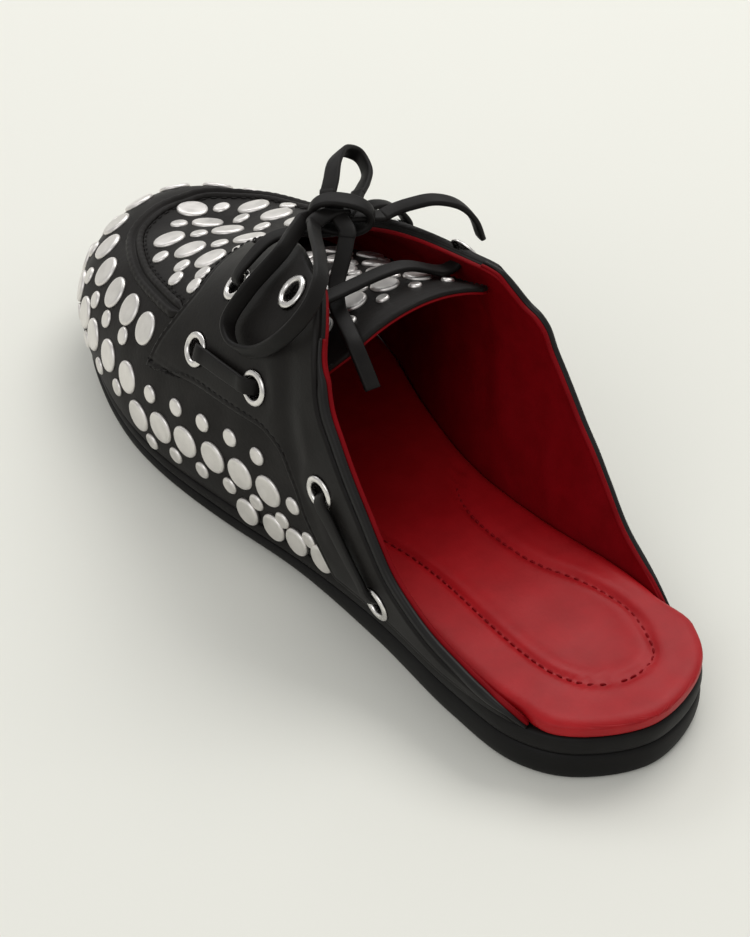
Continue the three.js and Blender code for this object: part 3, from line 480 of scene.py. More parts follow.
ROUTES = {
    "lace_loop_lateral": [[-7, 146.2, 88.8], [-13, 136, 92.6], [-19.8, 123, 94.6], [-25.2, 115.3, 93.8], [-30.5, 112.2, 89.8], [-35.8, 115.3, 81.6],
                          [-39.3, 125.4, 71.6], [-40, 135.8, 68.4], [-37.8, 141.6, 70.8], [-31.6, 141, 79.4], [-20.5, 141.6, 87], [-13, 146.8, 87.6], [-7, 151.2, 87.4]],
    "lace_loop_medial": [[2.5, 153.6, 91], [5.8, 157, 92.4], [11, 163, 93.8], [17.5, 167.8, 92.6], [22, 167.4, 89.6], [21.3, 162.4, 87.4], [17, 157.6, 87], [12, 153.4, 87.3]],
    "lace_end_medial": [[14, 144, 85], [18, 143.9, 85.6], [23, 142.6, 86.4], [29, 140.4, 86.8], [35, 137.6, 84.6], [39.5, 136.2, 79.2], [42, 135.8, 72.4]],
    "lace_end_rear": [[0, 140, 87], [-4.5, 135.5, 83], [-9, 131.8, 78.6], [-13, 125.6, 76], [-16, 117.5, 76.2], [-18, 110.5, 75.4], [-18.3, 105.2, 70.8], [-18.5, 100.5, 66]],
}
# width direction of each loose stretch, from its first point to its last
LIES = {
    "lace_loop_lateral": [(0.58, -0.44, -0.69)] * 13,
    "lace_loop_medial": [(0.75, -0.65, 0.1), (0.72, -0.66, 0.2), (0.6, -0.6, 0.5), (0.35, -0.45, 0.82), (0.2, -0.3, 0.93), (0.3, -0.45, 0.84), (0.5, -0.6, 0.6), (0.6, -0.65, 0.45)],
    "lace_end_medial": [(0.1, 1, 0.1)] * 7,
    "lace_end_rear": [(1, -0.9, 0.1), (1, -0.9, 0.2), (1, -0.7, 0.2), (1, -0.5, 0.2), (1, -0.25, 0.1), (1, -0.12, 0), (1, -0.05, 0), (1, 0, 0)],
}
cords = {}
for cord_name, route in ROUTES.items():
    V, F, line = ribbon(route, LIES[cord_name], width=4.6, thick=1.7)
    ob = piece(cord_name + "_piece", V, F, lace_calf, slot="lace_leather", replaces=(cord_name,))
    cords[cord_name] = (ob, line)


def knot_piece():
    """The bow's knot: a strap drawn round the bundle of strands, each of which runs on out of it."""
    s = Soup()
    C = np.array([2.6, 147.0, 87.8])
    ax = unit([0.628, 0.778, 0.05])  # the bundle's direction
    wide = unit(np.array([0.778, -0.628, -0.16]) - ax * np.dot([0.778, -0.628, -0.16], ax))
    up = np.cross(wide, ax)
    up = up if up[2] > 0 else -up
    a = np.linspace(0, 2 * np.pi, 17)[:-1]
    band = [C + wide * 8.3 * math.copysign(abs(math.cos(t)) ** 0.85, math.cos(t)) + up * 4.4 * math.sin(t) + ax * 0.9 * math.sin(t + 0.6) for t in a]
    loop = catmull(band, 8, closed=True)
    T = unit(np.roll(loop, -1, 0) - np.roll(loop, 1, 0))
    W = np.tile(ax, (len(loop), 1))
    W = unit(W - (W * T).sum(1, keepdims=True) * T)
    U = np.cross(T, W)
    k = np.arange(len(loop)) / len(loop) * 2 * np.pi
    pinch = 1 - 0.14 * np.cos(2 * k)[:, None, None]
    S = section(5.0, 1.8)
    V = (loop[:, None, :] + W[:, None, :] * S[None, :, :1] * pinch + U[:, None, :] * S[None, :, 1:]).reshape(-1, 3)
    n, m = len(loop), len(S)
    F = []
    for i in range(n):
        for q in range(m):
            j, l = (i + 1) % n, (q + 1) % m
            F.append((i * m + q, i * m + l, j * m + l, j * m + q))
    s.add(V, F)
    for pts, sides in (
        ([(-9.2, 142.8, 90.1), (-7, 146.2, 88.8), (-4, 147.4, 88.9), (0.5, 147.6, 89.0), (4.5, 147.2, 88.2)], [(0.58, -0.44, -0.69), (0.58, -0.44, -0.69), (0.3, -0.7, -0.4), (0.2, -0.8, 0.1), (0.2, -0.8, 0.2)]),
        ([(-9.2, 149.6, 87.5), (-7, 151.2, 87.4), (-3, 150.6, 87.2), (1, 149, 86.8), (4, 147.6, 86.6)], [(0.58, -0.44, -0.69), (0.58, -0.44, -0.69), (0.4, -0.6, -0.4), (0.3, -0.8, 0), (0.3, -0.8, 0)]),
        ([(3.2, 154.6, 91.4), (2.5, 153.6, 91), (1.8, 151, 90.2), (1.4, 148, 89), (0.8, 144.2, 88), (0, 140, 87), (-1.2, 138.6, 86)], [(0.75, -0.65, 0.1), (0.75, -0.65, 0.1), (0.8, -0.5, 0.1), (0.9, -0.4, 0.1), (1, -0.7, 0.1), (1, -0.9, 0.1), (1, -0.9, 0.1)]),
        ([(13.4, 154.8, 87.3), (12, 153.4, 87.3), (9.5, 151, 87.3), (6.5, 148.6, 87.2), (3.5, 146.4, 86.8)], [(0.6, -0.65, 0.45), (0.6, -0.65, 0.45), (0.5, -0.7, 0.4), (0.5, -0.7, 0.2), (0.5, -0.7, 0.2)]),
        ([(15.6, 144, 85.2), (14, 144, 85), (10.5, 144.6, 85.8), (6.5, 145.8, 86.6), (2.5, 147, 86.8)], [(0.1, 1, 0.1)] * 5),
    ):
        v, f, _ = ribbon(pts, sides, width=4.6, thick=1.7)
        s.add(v, f)
    return s.done("lace_knot_piece", lace_calf, slot="lace_leather", replaces=("lace_knot",))


knot = knot_piece()
for cord_name, far in (("lace_loop_lateral", "object"), ("lace_loop_medial", "object"), ("lace_end_medial", "bare"), ("lace_end_rear", "bare")):
    ob, line = cords[cord_name]


# ---------------------------------------------------------------- edges of the upper, on its own surface
TOPLINE = {
    "lateral": [(14, 12), (17.5, 16), (21.5, 19.3), (27.5, 21.3), (36.3, 22.9), (51, 25.8), (59.5, 28.8), (67.3, 33), (73.1, 39.3), (79, 46.5),
                (85.2, 53.6), (91.4, 61), (97.2, 67.6), (100.6, 74), (103.2, 82), (105, 96)],
    "medial": [(26, 12), (37, 18.5), (52.2, 27), (62.7, 37.3), (68.9, 43.4), (77, 50), (85.2, 57.2), (90.6, 63), (93.4, 68.8), (96.6, 72),
               (100.8, 74), (104.8, 79), (108, 86), (110, 98)],
}
# y, lateral x, medial x of the throat's edge
THROAT = [(178.5, -2, 5), (177.5, -5.5, 8.5), (174, -8, 11), (165, -8, 12), (155, -7.6, 15), (147, -9, 18), (140, -12, 20.5), (131, -16, 22.8),
          (120, -20.5, 25), (110, -27, 26.5), (103, -32, 28.5), (94, -31, 29.5), (84, -30, 30)]
SIDES = {"lateral": -1, "medial": 1}


def offset2d(P, d):
    T = unit(np.gradient(P, axis=0))
    return P + np.stack([-T[:, 1], T[:, 0]], 1) * d


def edge_curve(side, top_in, throat_in, throat_stop=None, n_top=150, n_throat=150):
    """(u, w) along the collar from the heel end over the wing's corner to the throat's front, inset by so much."""
    sg = SIDES[side]
    top = offset2d(catmull(TOPLINE[side], 14), -top_in)  # the kept leather lies below and ahead of the line
    u, w = find(sg, "yz", top)
    P = skin(u, w)
    ok = (P[:, 2] > rand_top(P[:, 1]) + GAP + 0.35) & (np.abs(P[:, 1] - top[:, 0]) < 0.3) & (np.abs(P[:, 2] - top[:, 1]) < 0.3)
    u, w, P = u[ok], w[ok], P[ok]
    thr = catmull([(r[1] if side == "lateral" else r[2], r[0]) for r in THROAT], 14)
    thr = offset2d(thr, -throat_in if side == "lateral" else throat_in)
    order = np.argsort(thr[:, 1])
    limit = np.interp(P[:, 1], thr[order, 1], thr[order, 0])
    past = ((P[:, 0] - limit) * -sg > 0) & (P[:, 1] > 88)
    last = int(np.argmax(past)) if past.any() else len(P)
    u, w, P = u[:last], w[:last], P[:last]
    y0 = P[-1, 1]
    thr = thr[order]
    stop = throat_stop if throat_stop is not None else 1e9
    thr = thr[(thr[:, 1] > y0 + 0.4) & (thr[:, 1] < stop)]
    gx = np.where(thr[:, 1] < 150, 0.8, 0.9)
    tu, tw = find(sg, "xy", thr, guess=(find(sg, "yz", [(min(max(q[1], 20), 215), float(ridge_z(q[1])) * 0.93) for q in thr])[0], gx))
    Q = skin(tu, tw)
    good = np.abs(Q[:, :2] - thr).max(1) < 0.2
    tu, tw, Q = tu[good], tw[good], Q[good]
    uw = np.concatenate([np.stack([u, w], 1), np.stack([tu, tw], 1)])
    PP = np.concatenate([P, Q])
    corner = len(u)
    return uw, PP, corner


def soft_creases(P):
    """The wear folds: soft troughs and ridges across the vamp, behind the saddle and on its walls, in millimetres off the skin."""
    x, y, z = P[..., 0], P[..., 1], P[..., 2]
    out = np.zeros(P.shape[:-1])
    # (y of its middle, lean with z, width, depth, z from, z to, side: -1 lateral, 1 medial, 0 both)
    for yc, lean, wd, depth, z0, z1, sd in (
        (109.0, 0.34, 4.2, -0.55, 34, 76, -1), (118.5, 0.30, 5.0, 0.45, 38, 82, -1), (99.0, 0.42, 3.4, 0.32, 26, 62, -1),
        (111.0, 0.30, 4.6, -0.5, 30, 72, 1), (121.0, 0.26, 5.5, 0.4, 34, 76, 1), (138.0, 0.12, 6.0, -0.35, 20, 46, 0),
        (166.0, 0.08, 5.0, -0.3, 16, 40, 0), (187.0, -0.12, 4.5, -0.32, 18, 44, 0), (84.0, 0.5, 3.2, -0.3, 18, 44, 0),
    ):
        d = (y - (yc + lean * (z - (z0 + z1) / 2))) / wd
        fade = smooth01((z - z0) / 8 + 0.5) * smooth01((z1 - z) / 8 + 0.5)
        here = 1.0 if sd == 0 else smooth01(sd * (x - 2) / 14)
        out = out + depth * np.exp(-(d**2)) * fade * here
    for p, n in eye.values():
        out = out * smooth01((np.linalg.norm(P - p, axis=-1) - 5.0) / 5.0)
    return out


def base(u, w):
    P = skin(u, w)
    return P


def off_skin(u, w, off=0.0):
    """A point this far off the worn skin."""
    P = skin(u, w)
    N = skin_normal(u, w)
    return P + N * (np.asarray(off, float) + soft_creases(P))[..., None]


# ---------------------------------------------------------------- the upper's grid: columns round the foot, rows from the sole to the edge
TOE_COLS = 96
ROWS_UP = 46


def upper_columns(top_in, throat_in):
    """Columns (u, w at the top, along the collar or not) along each side's edge, from its heel end to the throat's
    front.
    """
    cols = {}
    for side in ("lateral", "medial"):
        uw, P, c = edge_curve(side, top_in, throat_in)
        sp = np.where(np.arange(len(uw)) < c, 0, 1)
        # soften the wing's corner
        for _ in range(6):
            k = slice(max(c - 6, 1), c + 6)
            uw[k] = (uw[k] + 0.5 * (uw[max(c - 6, 1) - 1:c + 5] + uw[max(c - 6, 1) + 1:c + 7])) / 2
        P = skin(uw[:, 0], uw[:, 1])
        s = arc(P)
        n = int(s[-1] / 1.15)
        t = np.linspace(0, s[-1], n)
        q = np.stack([np.interp(t, s, uw[:, 0]), np.interp(t, s, uw[:, 1])], 1)
        collar = 1 - smooth01((t - s[c] + 7) / 7)
        cols[side] = (q, collar)
    return cols


def upper_grid(top_in, throat_in):
    cols = upper_columns(top_in, throat_in)
    uL, cL = cols["lateral"]
    uM, cM = cols["medial"]
    a, b = uL[-1], uM[-1]
    # the throat's front: from its lateral shoulder over the ridge to its medial one, at one y
    xs = np.linspace(skin(a[0], a[1])[0], skin(b[0], b[1])[0], 13)[1:-1]
    yf = 178.5 + throat_in
    rx = float(ridge_x(yf))
    bridge_u, bridge_w = [], []
    for x in xs:
        sg = -1 if x < rx else 1
        if abs(x - rx) < 0.35:
            s = np.arccos(1 - 2 * 0.5) / np.pi
            continue
        gu = a[0] if sg < 0 else b[0]
        uu, ww = find(sg, "xy", [(x, yf)], guess=(gu, 0.9))
        bridge_u.append(float(uu[0]))
        bridge_w.append(float(ww[0]))
    bridge_u, bridge_w = np.array(bridge_u), np.array(bridge_w)
    left = bridge_u < 0.5
    # u of the ridge point at the throat's front
    us = np.linspace(0.25, 0.45, 4001)
    u_front = float(us[np.argmin(np.abs(ridge_y(foot_at(FEATHER_IN, us)[:, 1]) - yf))])
    lu = np.concatenate([uL[:, 0], bridge_u[left], [u_front]])
    lw = np.concatenate([uL[:, 1], bridge_w[left], [1.0]])
    lc = np.concatenate([cL, np.zeros(left.sum() + 1)])
    mu = np.concatenate([uM[:, 0], bridge_u[~left][::-1], [1 - u_front]])
    mw = np.concatenate([uM[:, 1], bridge_w[~left][::-1], [1.0]])
    mc = np.concatenate([cM, np.zeros((~left).sum() + 1)])
    toe = np.linspace(u_front, 0.5, TOE_COLS)[1:]
    lu, lw, lc = np.concatenate([lu, toe]), np.concatenate([lw, np.ones(len(toe))]), np.concatenate([lc, np.zeros(len(toe))])
    back = 1 - toe[:-1][::-1]
    mu = np.concatenate([back, mu[::-1]])
    mw = np.concatenate([np.ones(len(back)), mw[::-1]])
    mc = np.concatenate([np.zeros(len(back)), mc[::-1]])
    U = np.concatenate([lu, mu])
    W = np.concatenate([lw, mw])
    C = np.concatenate([lc, mc])
    nL = len(lu)
    first_ridge = int(np.argmax(lw >= 1.0))
    # rows evenly along each column, with close ones under the collar's edge
    fine = np.linspace(0, 1, 161) ** 1.25
    WW = W[:, None] * fine[None, :]
    PP = skin(np.repeat(U[:, None], len(fine), 1), WW)
    S = np.concatenate([np.zeros((len(U), 1)), np.cumsum(np.linalg.norm(np.diff(PP, axis=1), axis=2), axis=1)], 1)
    near = np.array([0.0, 0.25, 0.5, 0.8, 1.1, 1.5, 1.9, 2.3, 2.6, 2.9, 3.2, 3.6, 4.2, 5.0, 6.2])
    G = np.zeros((len(U), ROWS_UP))
    for k in range(len(U)):
        L = S[k, -1]
        if W[k] >= 1.0:
            d = np.linspace(0, L, ROWS_UP)
        else:
            squeeze_near = min(1.0, L / 14.0)
            tail = L - near * squeeze_near
            d = np.concatenate([np.linspace(0, tail[-1], ROWS_UP - len(near) + 1)[:-1], tail[::-1]])
        G[k] = np.interp(d, S[k], WW[k])
    # blend the two row spacings over a few columns so that the rows stay smooth
    for _ in range(14):
        G[1:-1, 1:-1] = np.where((W[1:-1] > 0.55)[:, None], 0.5 * G[1:-1, 1:-1] + 0.25 * (G[:-2, 1:-1] + G[2:, 1:-1]), G[1:-1, 1:-1])
    G = np.minimum(G, W[:, None])
    return U, G, C, nL, first_ridge


def weld_normals(V, F):
    N = np.zeros_like(V)
    Fa = np.asarray(F)
    a, b, c, d = (V[Fa[:, i]] for i in range(4))
    fn = np.cross(c - a, d - b)
    for i in range(4):
        np.add.at(N, Fa[:, i], fn)
    return unit(N)


def shell_surface():
    """The upper's outer surface, before its wear folds, as one welded grid."""
    U, G, C, nL, fr = upper_grid(0.75, 0.75)
    nc, nr = G.shape
    P = skin(np.repeat(U[:, None], nr, 1), G)
    idx = np.arange(nc * nr).reshape(nc, nr)
    keep = np.ones(nc * nr, bool)
    remap = np.arange(nc * nr)
    # the medial columns ahead of the throat end on the lateral ones' ridge points
    for k in range(nc - 1, nL - 1, -1):
        m = 2 * (nL - 1) - k
        if 0 <= m < nL and m >= fr and G[k, -1] >= 1.0:
            remap[idx[k, -1]] = idx[m, -1]
            keep[idx[k, -1]] = False
    F = []
    for k in range(nc - 1):
        for r in range(nr - 1):
            F.append((idx[k, r], idx[k + 1, r], idx[k + 1, r + 1], idx[k, r + 1]))
    F = remap[np.array(F)]
    return U, G, C, nL, fr, P.reshape(-1, 3), F, idx, remap, keep


def thicken(V, N, F, top, bot, rim=2, bulge=0.0):
    """A closed shell over a quad sheet: its face at top, its back at bot, and a rounded rim along every free border."""
    V, N = np.asarray(V, float), np.asarray(N, float)
    F = np.asarray(F)
    n = len(V)
    top = np.ones(n) * top
    bot = np.ones(n) * bot
    E = np.concatenate([F[:, [i, (i + 1) % F.shape[1]]] for i in range(F.shape[1])])
    key = E[:, 0].astype(np.int64) * n + E[:, 1]
    back = E[:, 1].astype(np.int64) * n + E[:, 0]
    B = E[~np.isin(key, back) & (E[:, 0] != E[:, 1])]
    out = np.zeros_like(V)
    d = V[B[:, 1]] - V[B[:, 0]]
    for i in (0, 1):
        np.add.at(out, B[:, i], np.cross(d, N[B[:, i]]))
    out = unit(out)
    ids = np.unique(B)
    where_id = {int(v): k for k, v in enumerate(ids)}
    verts = [V + N * top[:, None], V + N * bot[:, None]]
    for k in range(rim):
        f = (k + 1) / (rim + 1)
        h = top[ids] * (1 - f) + bot[ids] * f
        push = bulge * math.sin(math.pi * f)
        verts.append(V[ids] + N[ids] * h[:, None] + out[ids] * push)
    faces = [tuple(q) for q in F if len(set(q.tolist())) > 2] + [tuple(q[::-1] + n) for q in F if len(set(q.tolist())) > 2]
    for a, b in B:
        ka, kb = where_id[int(a)], where_id[int(b)]
        La = [int(a)] + [2 * n + r * len(ids) + ka for r in range(rim)] + [int(a) + n]
        Lb = [int(b)] + [2 * n + r * len(ids) + kb for r in range(rim)] + [int(b) + n]
        for r in range(rim + 1):
            faces.append((Lb[r], La[r], La[r + 1], Lb[r + 1]))
    clean = []
    for f in faces:
        g = []
        for i in f:
            if int(i) not in g:
                g.append(int(i))
        if len(g) > 2:
            clean.append(tuple(g))
    return np.concatenate(verts), clean


def compact(V, N, F):
    used = np.unique(F)
    m = np.full(len(V), -1)
    m[used] = np.arange(len(used))
    return V[used], N[used], m[np.asarray(F)]


def turned(profile, segs, p, n, soup):
    """A closed profile of (radius, height) turned about n at p."""
    n = unit(n)
    a = unit(np.cross(n, [0.3, 0.9, 0.2]))
    b = np.cross(n, a)
    t = np.linspace(0, 2 * np.pi, segs + 1)[:-1]
    pr = np.array(profile, float)
    ring = np.cos(t)[:, None] * a + np.sin(t)[:, None] * b
    V = p + ring[:, None, :] * pr[None, :, :1] + n * pr[None, :, 1:]
    m = len(pr)
    F = []
    for i in range(segs):
        j = (i + 1) % segs
        for k in range(m):
            l = (k + 1) % m
            F.append((i * m + k, j * m + k, j * m + l, i * m + l))
    soup.add(V.reshape(-1, 3), F)


def capped(profile, segs, p, n, soup):
    """An open profile from the axis out to the rim and back, turned about n at p: a stud's head."""
    n = unit(n)
    a = unit(np.cross(n, [0.3, 0.9, 0.2]))
    b = np.cross(n, a)
    t = np.linspace(0, 2 * np.pi, segs + 1)[:-1]
    ring = np.cos(t)[:, None] * a + np.sin(t)[:, None] * b
    V, F = [p + n * profile[0][1]], []
    for r, h in profile[1:]:
        V.extend(list(p + ring * r + n * h))
    m = len(profile) - 1
    for i in range(segs):
        j = (i + 1) % segs
        F.append((0, 1 + i, 1 + j))
        for k in range(m - 1):
            F.append((1 + k * segs + i, 1 + (k + 1) * segs + i, 1 + (k + 1) * segs + j, 1 + k * segs + j))
    V.append(p + n * profile[-1][1])
    e = len(V) - 1
    for i in range(segs):
        j = (i + 1) % segs
        F.append((e, 1 + (m - 1) * segs + j, 1 + (m - 1) * segs + i))
    soup.add(V, F)


def stitch(soup, a, b, n, w=0.3, h=0.3):
    """One thread stitch from a to b, pressed into the leather at its ends."""
    a, b, n = np.asarray(a), np.asarray(b), unit(n)
    t = unit(b - a)
    s = np.cross(n, t)
    V, F = [], []
    for f, k in ((0.0, 0.25), (0.12, 0.75), (0.3, 1.0), (0.7, 1.0), (0.88, 0.75), (1.0, 0.25)):
        c = a + (b - a) * f + n * (h * (k - 0.75))
        for q in range(6):
            g = math.pi * q / 3
            V.append(c + s * (w * k * math.cos(g)) + n * (w * k * math.sin(g)))
    for i in range(5):
        for q in range(6):
            r = (q + 1) % 6
            F.append((i * 6 + q, i * 6 + r, i * 6 + 6 + r, i * 6 + 6 + q))
    F.append(tuple(range(5, -1, -1)))
    F.append(tuple(range(30, 36)))
    soup.add(V, F)


def stitches_along(soup, P, N, pitch=2.7, length=1.9, lift=0.0, **k):
    s = arc(P)
    for c in np.arange(pitch * 0.6, s[-1] - pitch * 0.4, pitch):
        f = lambda v, A: np.array([np.interp(v, s, A[:, i]) for i in range(3)])
        n = unit(f(c, N))
        stitch(soup, f(c - length / 2, P) + n * lift, f(c + length / 2, P) + n * lift, n, **k)


def strip_along(P, N, prof, closed=False, scale=None, taper=True):
    """A closed cross-section (across, up) run along a line on the surface."""
    n = len(P)
    T = unit(np.gradient(P, axis=0)) if not closed else unit(np.roll(P, -1, 0) - np.roll(P, 1, 0))
    N = unit(N - (N * T).sum(1, keepdims=True) * T)
    S = np.cross(N, T)
    pr = np.array(prof, float)
    sc = np.ones(n) if scale is None else np.asarray(scale, float)
    m = len(pr)
    V = P[:, None, :] + (S[:, None, :] * pr[None, :, :1] + N[:, None, :] * pr[None, :, 1:]) * sc[:, None, None]
    F = []
    for i in range(n if closed else n - 1):
        j = (i + 1) % n
        for k in range(m):
            l = (k + 1) % m
            F.append((i * m + k, j * m + k, j * m + l, i * m + l))
    V = V.reshape(-1, 3)
    if not closed:
        V = np.concatenate([V, V[:m].mean(0)[None], V[-m:].mean(0)[None]])
        a, b = n * m, n * m + 1
        for k in range(m):
            l = (k + 1) % m
            F.append((a, k, l))
            F.append((b, (n - 1) * m + l, (n - 1) * m + k))
    return V, F


def recalc(ob):
    """Faces turned outwards, whichever way they were listed."""
    import bmesh
    bm = bmesh.new()
    bm.from_mesh(ob.data)
    bmesh.ops.recalc_face_normals(bm, faces=bm.faces)
    bm.to_mesh(ob.data)
    bm.free()


# ---------------------------------------------------------------- eyelets and their holes
EYELETS = {
    "front_lateral": (151.6, 72.2), "rear_lateral": (126.6, 83.4), "side_1_lateral": (154.6, 54.7), "side_2_lateral": (126.3, 58.8),
    "side_3_lateral": (96.1, 43.2), "side_4_lateral": (73.3, 19.6), "front_medial": (151, 70.5), "rear_medial": (125, 76.8),
    "side_1_medial": (154, 53), "side_2_medial": (124, 57.5), "side_3_medial": (91.5, 43), "side_4_medial": (68.5, 20.2),
}
eye = {}
for e_name, yz in EYELETS.items():
    sg = SIDES[e_name.rsplit("_", 1)[1]]
    u, w = find(sg, "yz", [yz])
    eye[e_name] = (skin(u, w)[0], skin_normal(u, w)[0])
EYELET = [(3.1, -1.6), (3.45, -1.6), (3.45, 1.7), (4.85, 1.7), (5.02, 1.88), (5.0, 2.16), (4.78, 2.42), (4.4, 2.62), (4.0, 2.7), (3.6, 2.62), (3.3, 2.4), (3.12, 2.05), (3.1, 1.7)]
for e_name, (p, n) in eye.items():
    s = Soup()
    turned(EYELET, 44, p, n, s)
    ob = s.done("eyelet_%s_piece" % e_name, silver_bright, slot="silver_metal", replaces=("eyelet_" + e_name,))
    recalc(ob)


def sunk(P, top, bot, floor_top, floor_bot):
    """The leather's face and back at each point, let down inside the eyelets' barrels."""
    top, bot = np.array(top, float) * np.ones(len(P)), np.array(bot, float) * np.ones(len(P))
    for p, n in eye.values():
        v = P - p
        axial = v @ n
        radial = np.linalg.norm(v - axial[:, None] * n, axis=1)
        f = np.where(np.abs(axial) < 6, smooth01((4.35 - radial) / 0.45), 0.0)
        top = top * (1 - f) + floor_top * f
        bot = bot * (1 - f) + floor_bot * f
    return top, bot


def near_dist(P, Q):
    """Distance from each point of P to the nearest of Q."""
    out = np.empty(len(P))
    for i in range(0, len(P), 3000):
        out[i:i + 3000] = np.sqrt(((P[i:i + 3000, None, :] - Q[None]) ** 2).sum(2).min(1))
    return out


# ---------------------------------------------------------------- the upper and its lining
def upper_pieces():
    U, G, C, nL, fr, P0, F, idx, remap, keep = shell_surface()
    nc, nr = G.shape
    N0 = skin_normal(np.repeat(U[:, None], nr, 1), G).reshape(-1, 3)
    V, N, F = compact(P0, N0, F)
    c = soft_creases(V)
    top, bot = sunk(V, c, c - 1.3, c - 1.24, c - 1.3)
    verts, faces = thicken(V, N, F, top, bot, rim=2, bulge=0.25)
    ob = piece("upper_leather", verts, faces, calf, slot="black_leather", replaces=("upper",))
    recalc(ob)
    verts, faces = thicken(V, N, F, c - 1.32, c - 2.4, rim=1, bulge=0.1)
    li = piece("upper_lining", verts, faces, lining_red_painted_shade, slot="red_leather")
    recalc(li)
    return ob, li


upper_leather, upper_lining = upper_pieces()

# the bound topline: a rolled band over the collar's edge, running out at the wing's corner
BINDING = [(-2.9, 0.0), (-2.8, 0.55), (-2.2, 0.98), (-1.3, 1.12), (-0.45, 0.95), (0.12, 0.5), (0.3, -0.1), (0.2, -0.7), (-0.15, -1.1), (-0.9, -1.2), (-1.4, -0.9), (-2.0, -0.4)]
LINING_EDGE = [(-0.35 + 0.78 * math.cos(a_), -1.78 + 0.78 * math.sin(a_)) for a_ in np.linspace(0, 2 * math.pi, 15)[:-1]]
LIGHT_LINE = [(-3.35, -0.05), (-3.25, 0.28), (-3.0, 0.42), (-2.78, 0.3), (-2.7, 0.0), (-3.0, -0.25)]
for side in ("lateral", "medial"):
    uw, P, cn = edge_curve(side, 0.75, 0.75)
    last = min(cn + 10, len(P) - 2)
    u2, w2 = uw[: last + 1, 0].copy(), uw[: last + 1, 1].copy()
    for _ in range(6):
        k = slice(max(cn - 6, 1), min(cn + 6, last))
        a, b = k.start, k.stop
        u2[k] = (u2[k] + 0.5 * (u2[a - 1:b - 1] + u2[a + 1:b + 1])) / 2
        w2[k] = (w2[k] + 0.5 * (w2[a - 1:b - 1] + w2[a + 1:b + 1])) / 2
    P = skin(u2, w2)
    Pr, key = resample(P, max(int(arc(P)[-1] / 0.9), 20), np.stack([u2, w2], 1))
    N = skin_normal(key[:, 0], key[:, 1])
    Pr = skin(key[:, 0], key[:, 1])
    Pr = Pr + N * soft_creases(Pr)[:, None]
    s = arc(Pr)
    corner_s = s[int(np.argmin(np.linalg.norm(Pr - skin(uw[cn, 0], uw[cn, 1]), axis=1)))]
    sc = (1.0 - 0.55 * smooth01((s - corner_s + 6) / 12)) * (0.22 + 0.78 * smooth01(s / 16))
    T = unit(np.gradient(Pr, axis=0))
    across = np.cross(N, T)
    if np.dot(across[len(across) // 3], [0, -0.3, 1.0]) < 0:
        T = -T
        Pr, N, sc = Pr[::-1], N[::-1], sc[::-1]
    soup = Soup()
    v, f = strip_along(Pr, N, BINDING, scale=sc)
    soup.add(v, f)
    ob = soup.done("topline_binding_" + side, edge_black, slot="black_leather")
    recalc(ob)
    soup = Soup()
    v, f = strip_along(Pr, N, LINING_EDGE, scale=np.maximum(sc, 0.7))
    soup.add(v, f)
    ob = soup.done("lining_edge_" + side, lining_red_painted_shade, slot="red_leather")
    recalc(ob)
    soup = Soup()
    v, f = strip_along(Pr, N, LIGHT_LINE, scale=sc)
    soup.add(v, f)
    ob = soup.done("topline_piping_" + side, edge_black, slot="black_leather")
    recalc(ob)


# ---------------------------------------------------------------- saddles
SADDLE = {
    "lateral": [(176.2, 41.1), (163.2, 43.2), (151.1, 45.8), (139, 46.9), (128, 48), (120, 48.4), (114, 46.4), (109.2, 39.4), (104.5, 30), (98, 20), (92, 8)],
    "medial": [(176.2, 41.1), (163.2, 43.2), (151.1, 45.8), (139, 47.2), (127, 48.8), (115, 48.9), (108.6, 45.6), (103, 36.6), (98, 29), (90, 20), (84, 8)],
}
SADDLE_KEYS = {"lateral": [(60, None), (94, (98, 20)), (None, (113.5, 46)), (130, (132, 47.6)), (150, (152, 45.6))],
               "medial": [(60, None), (86, (90, 20)), (None, (108, 45)), (130, (131, 48.2)), (150, (152, 45.6))]}
# the front edge from above: it dips back over each shoulder
SADDLE_FRONT = {"lateral": [(-45.3, 176.4), (-40.9, 174.1), (-36.5, 171.2), (-30, 169.4), (-22.7, 172.2), (-12, 176), (-3, 178.6)],
                "medial": [(45.6, 176.4), (41.8, 174.1), (37.6, 171.2), (31.4, 169.4), (24, 172.2), (14, 176), (6, 178.6)]}
thread = Soup()


def nearest_s(P, s, target, axes=(1, 2)):
    return float(s[int(np.argmin(((P[:, axes] - np.array(target)) ** 2).sum(1)))])


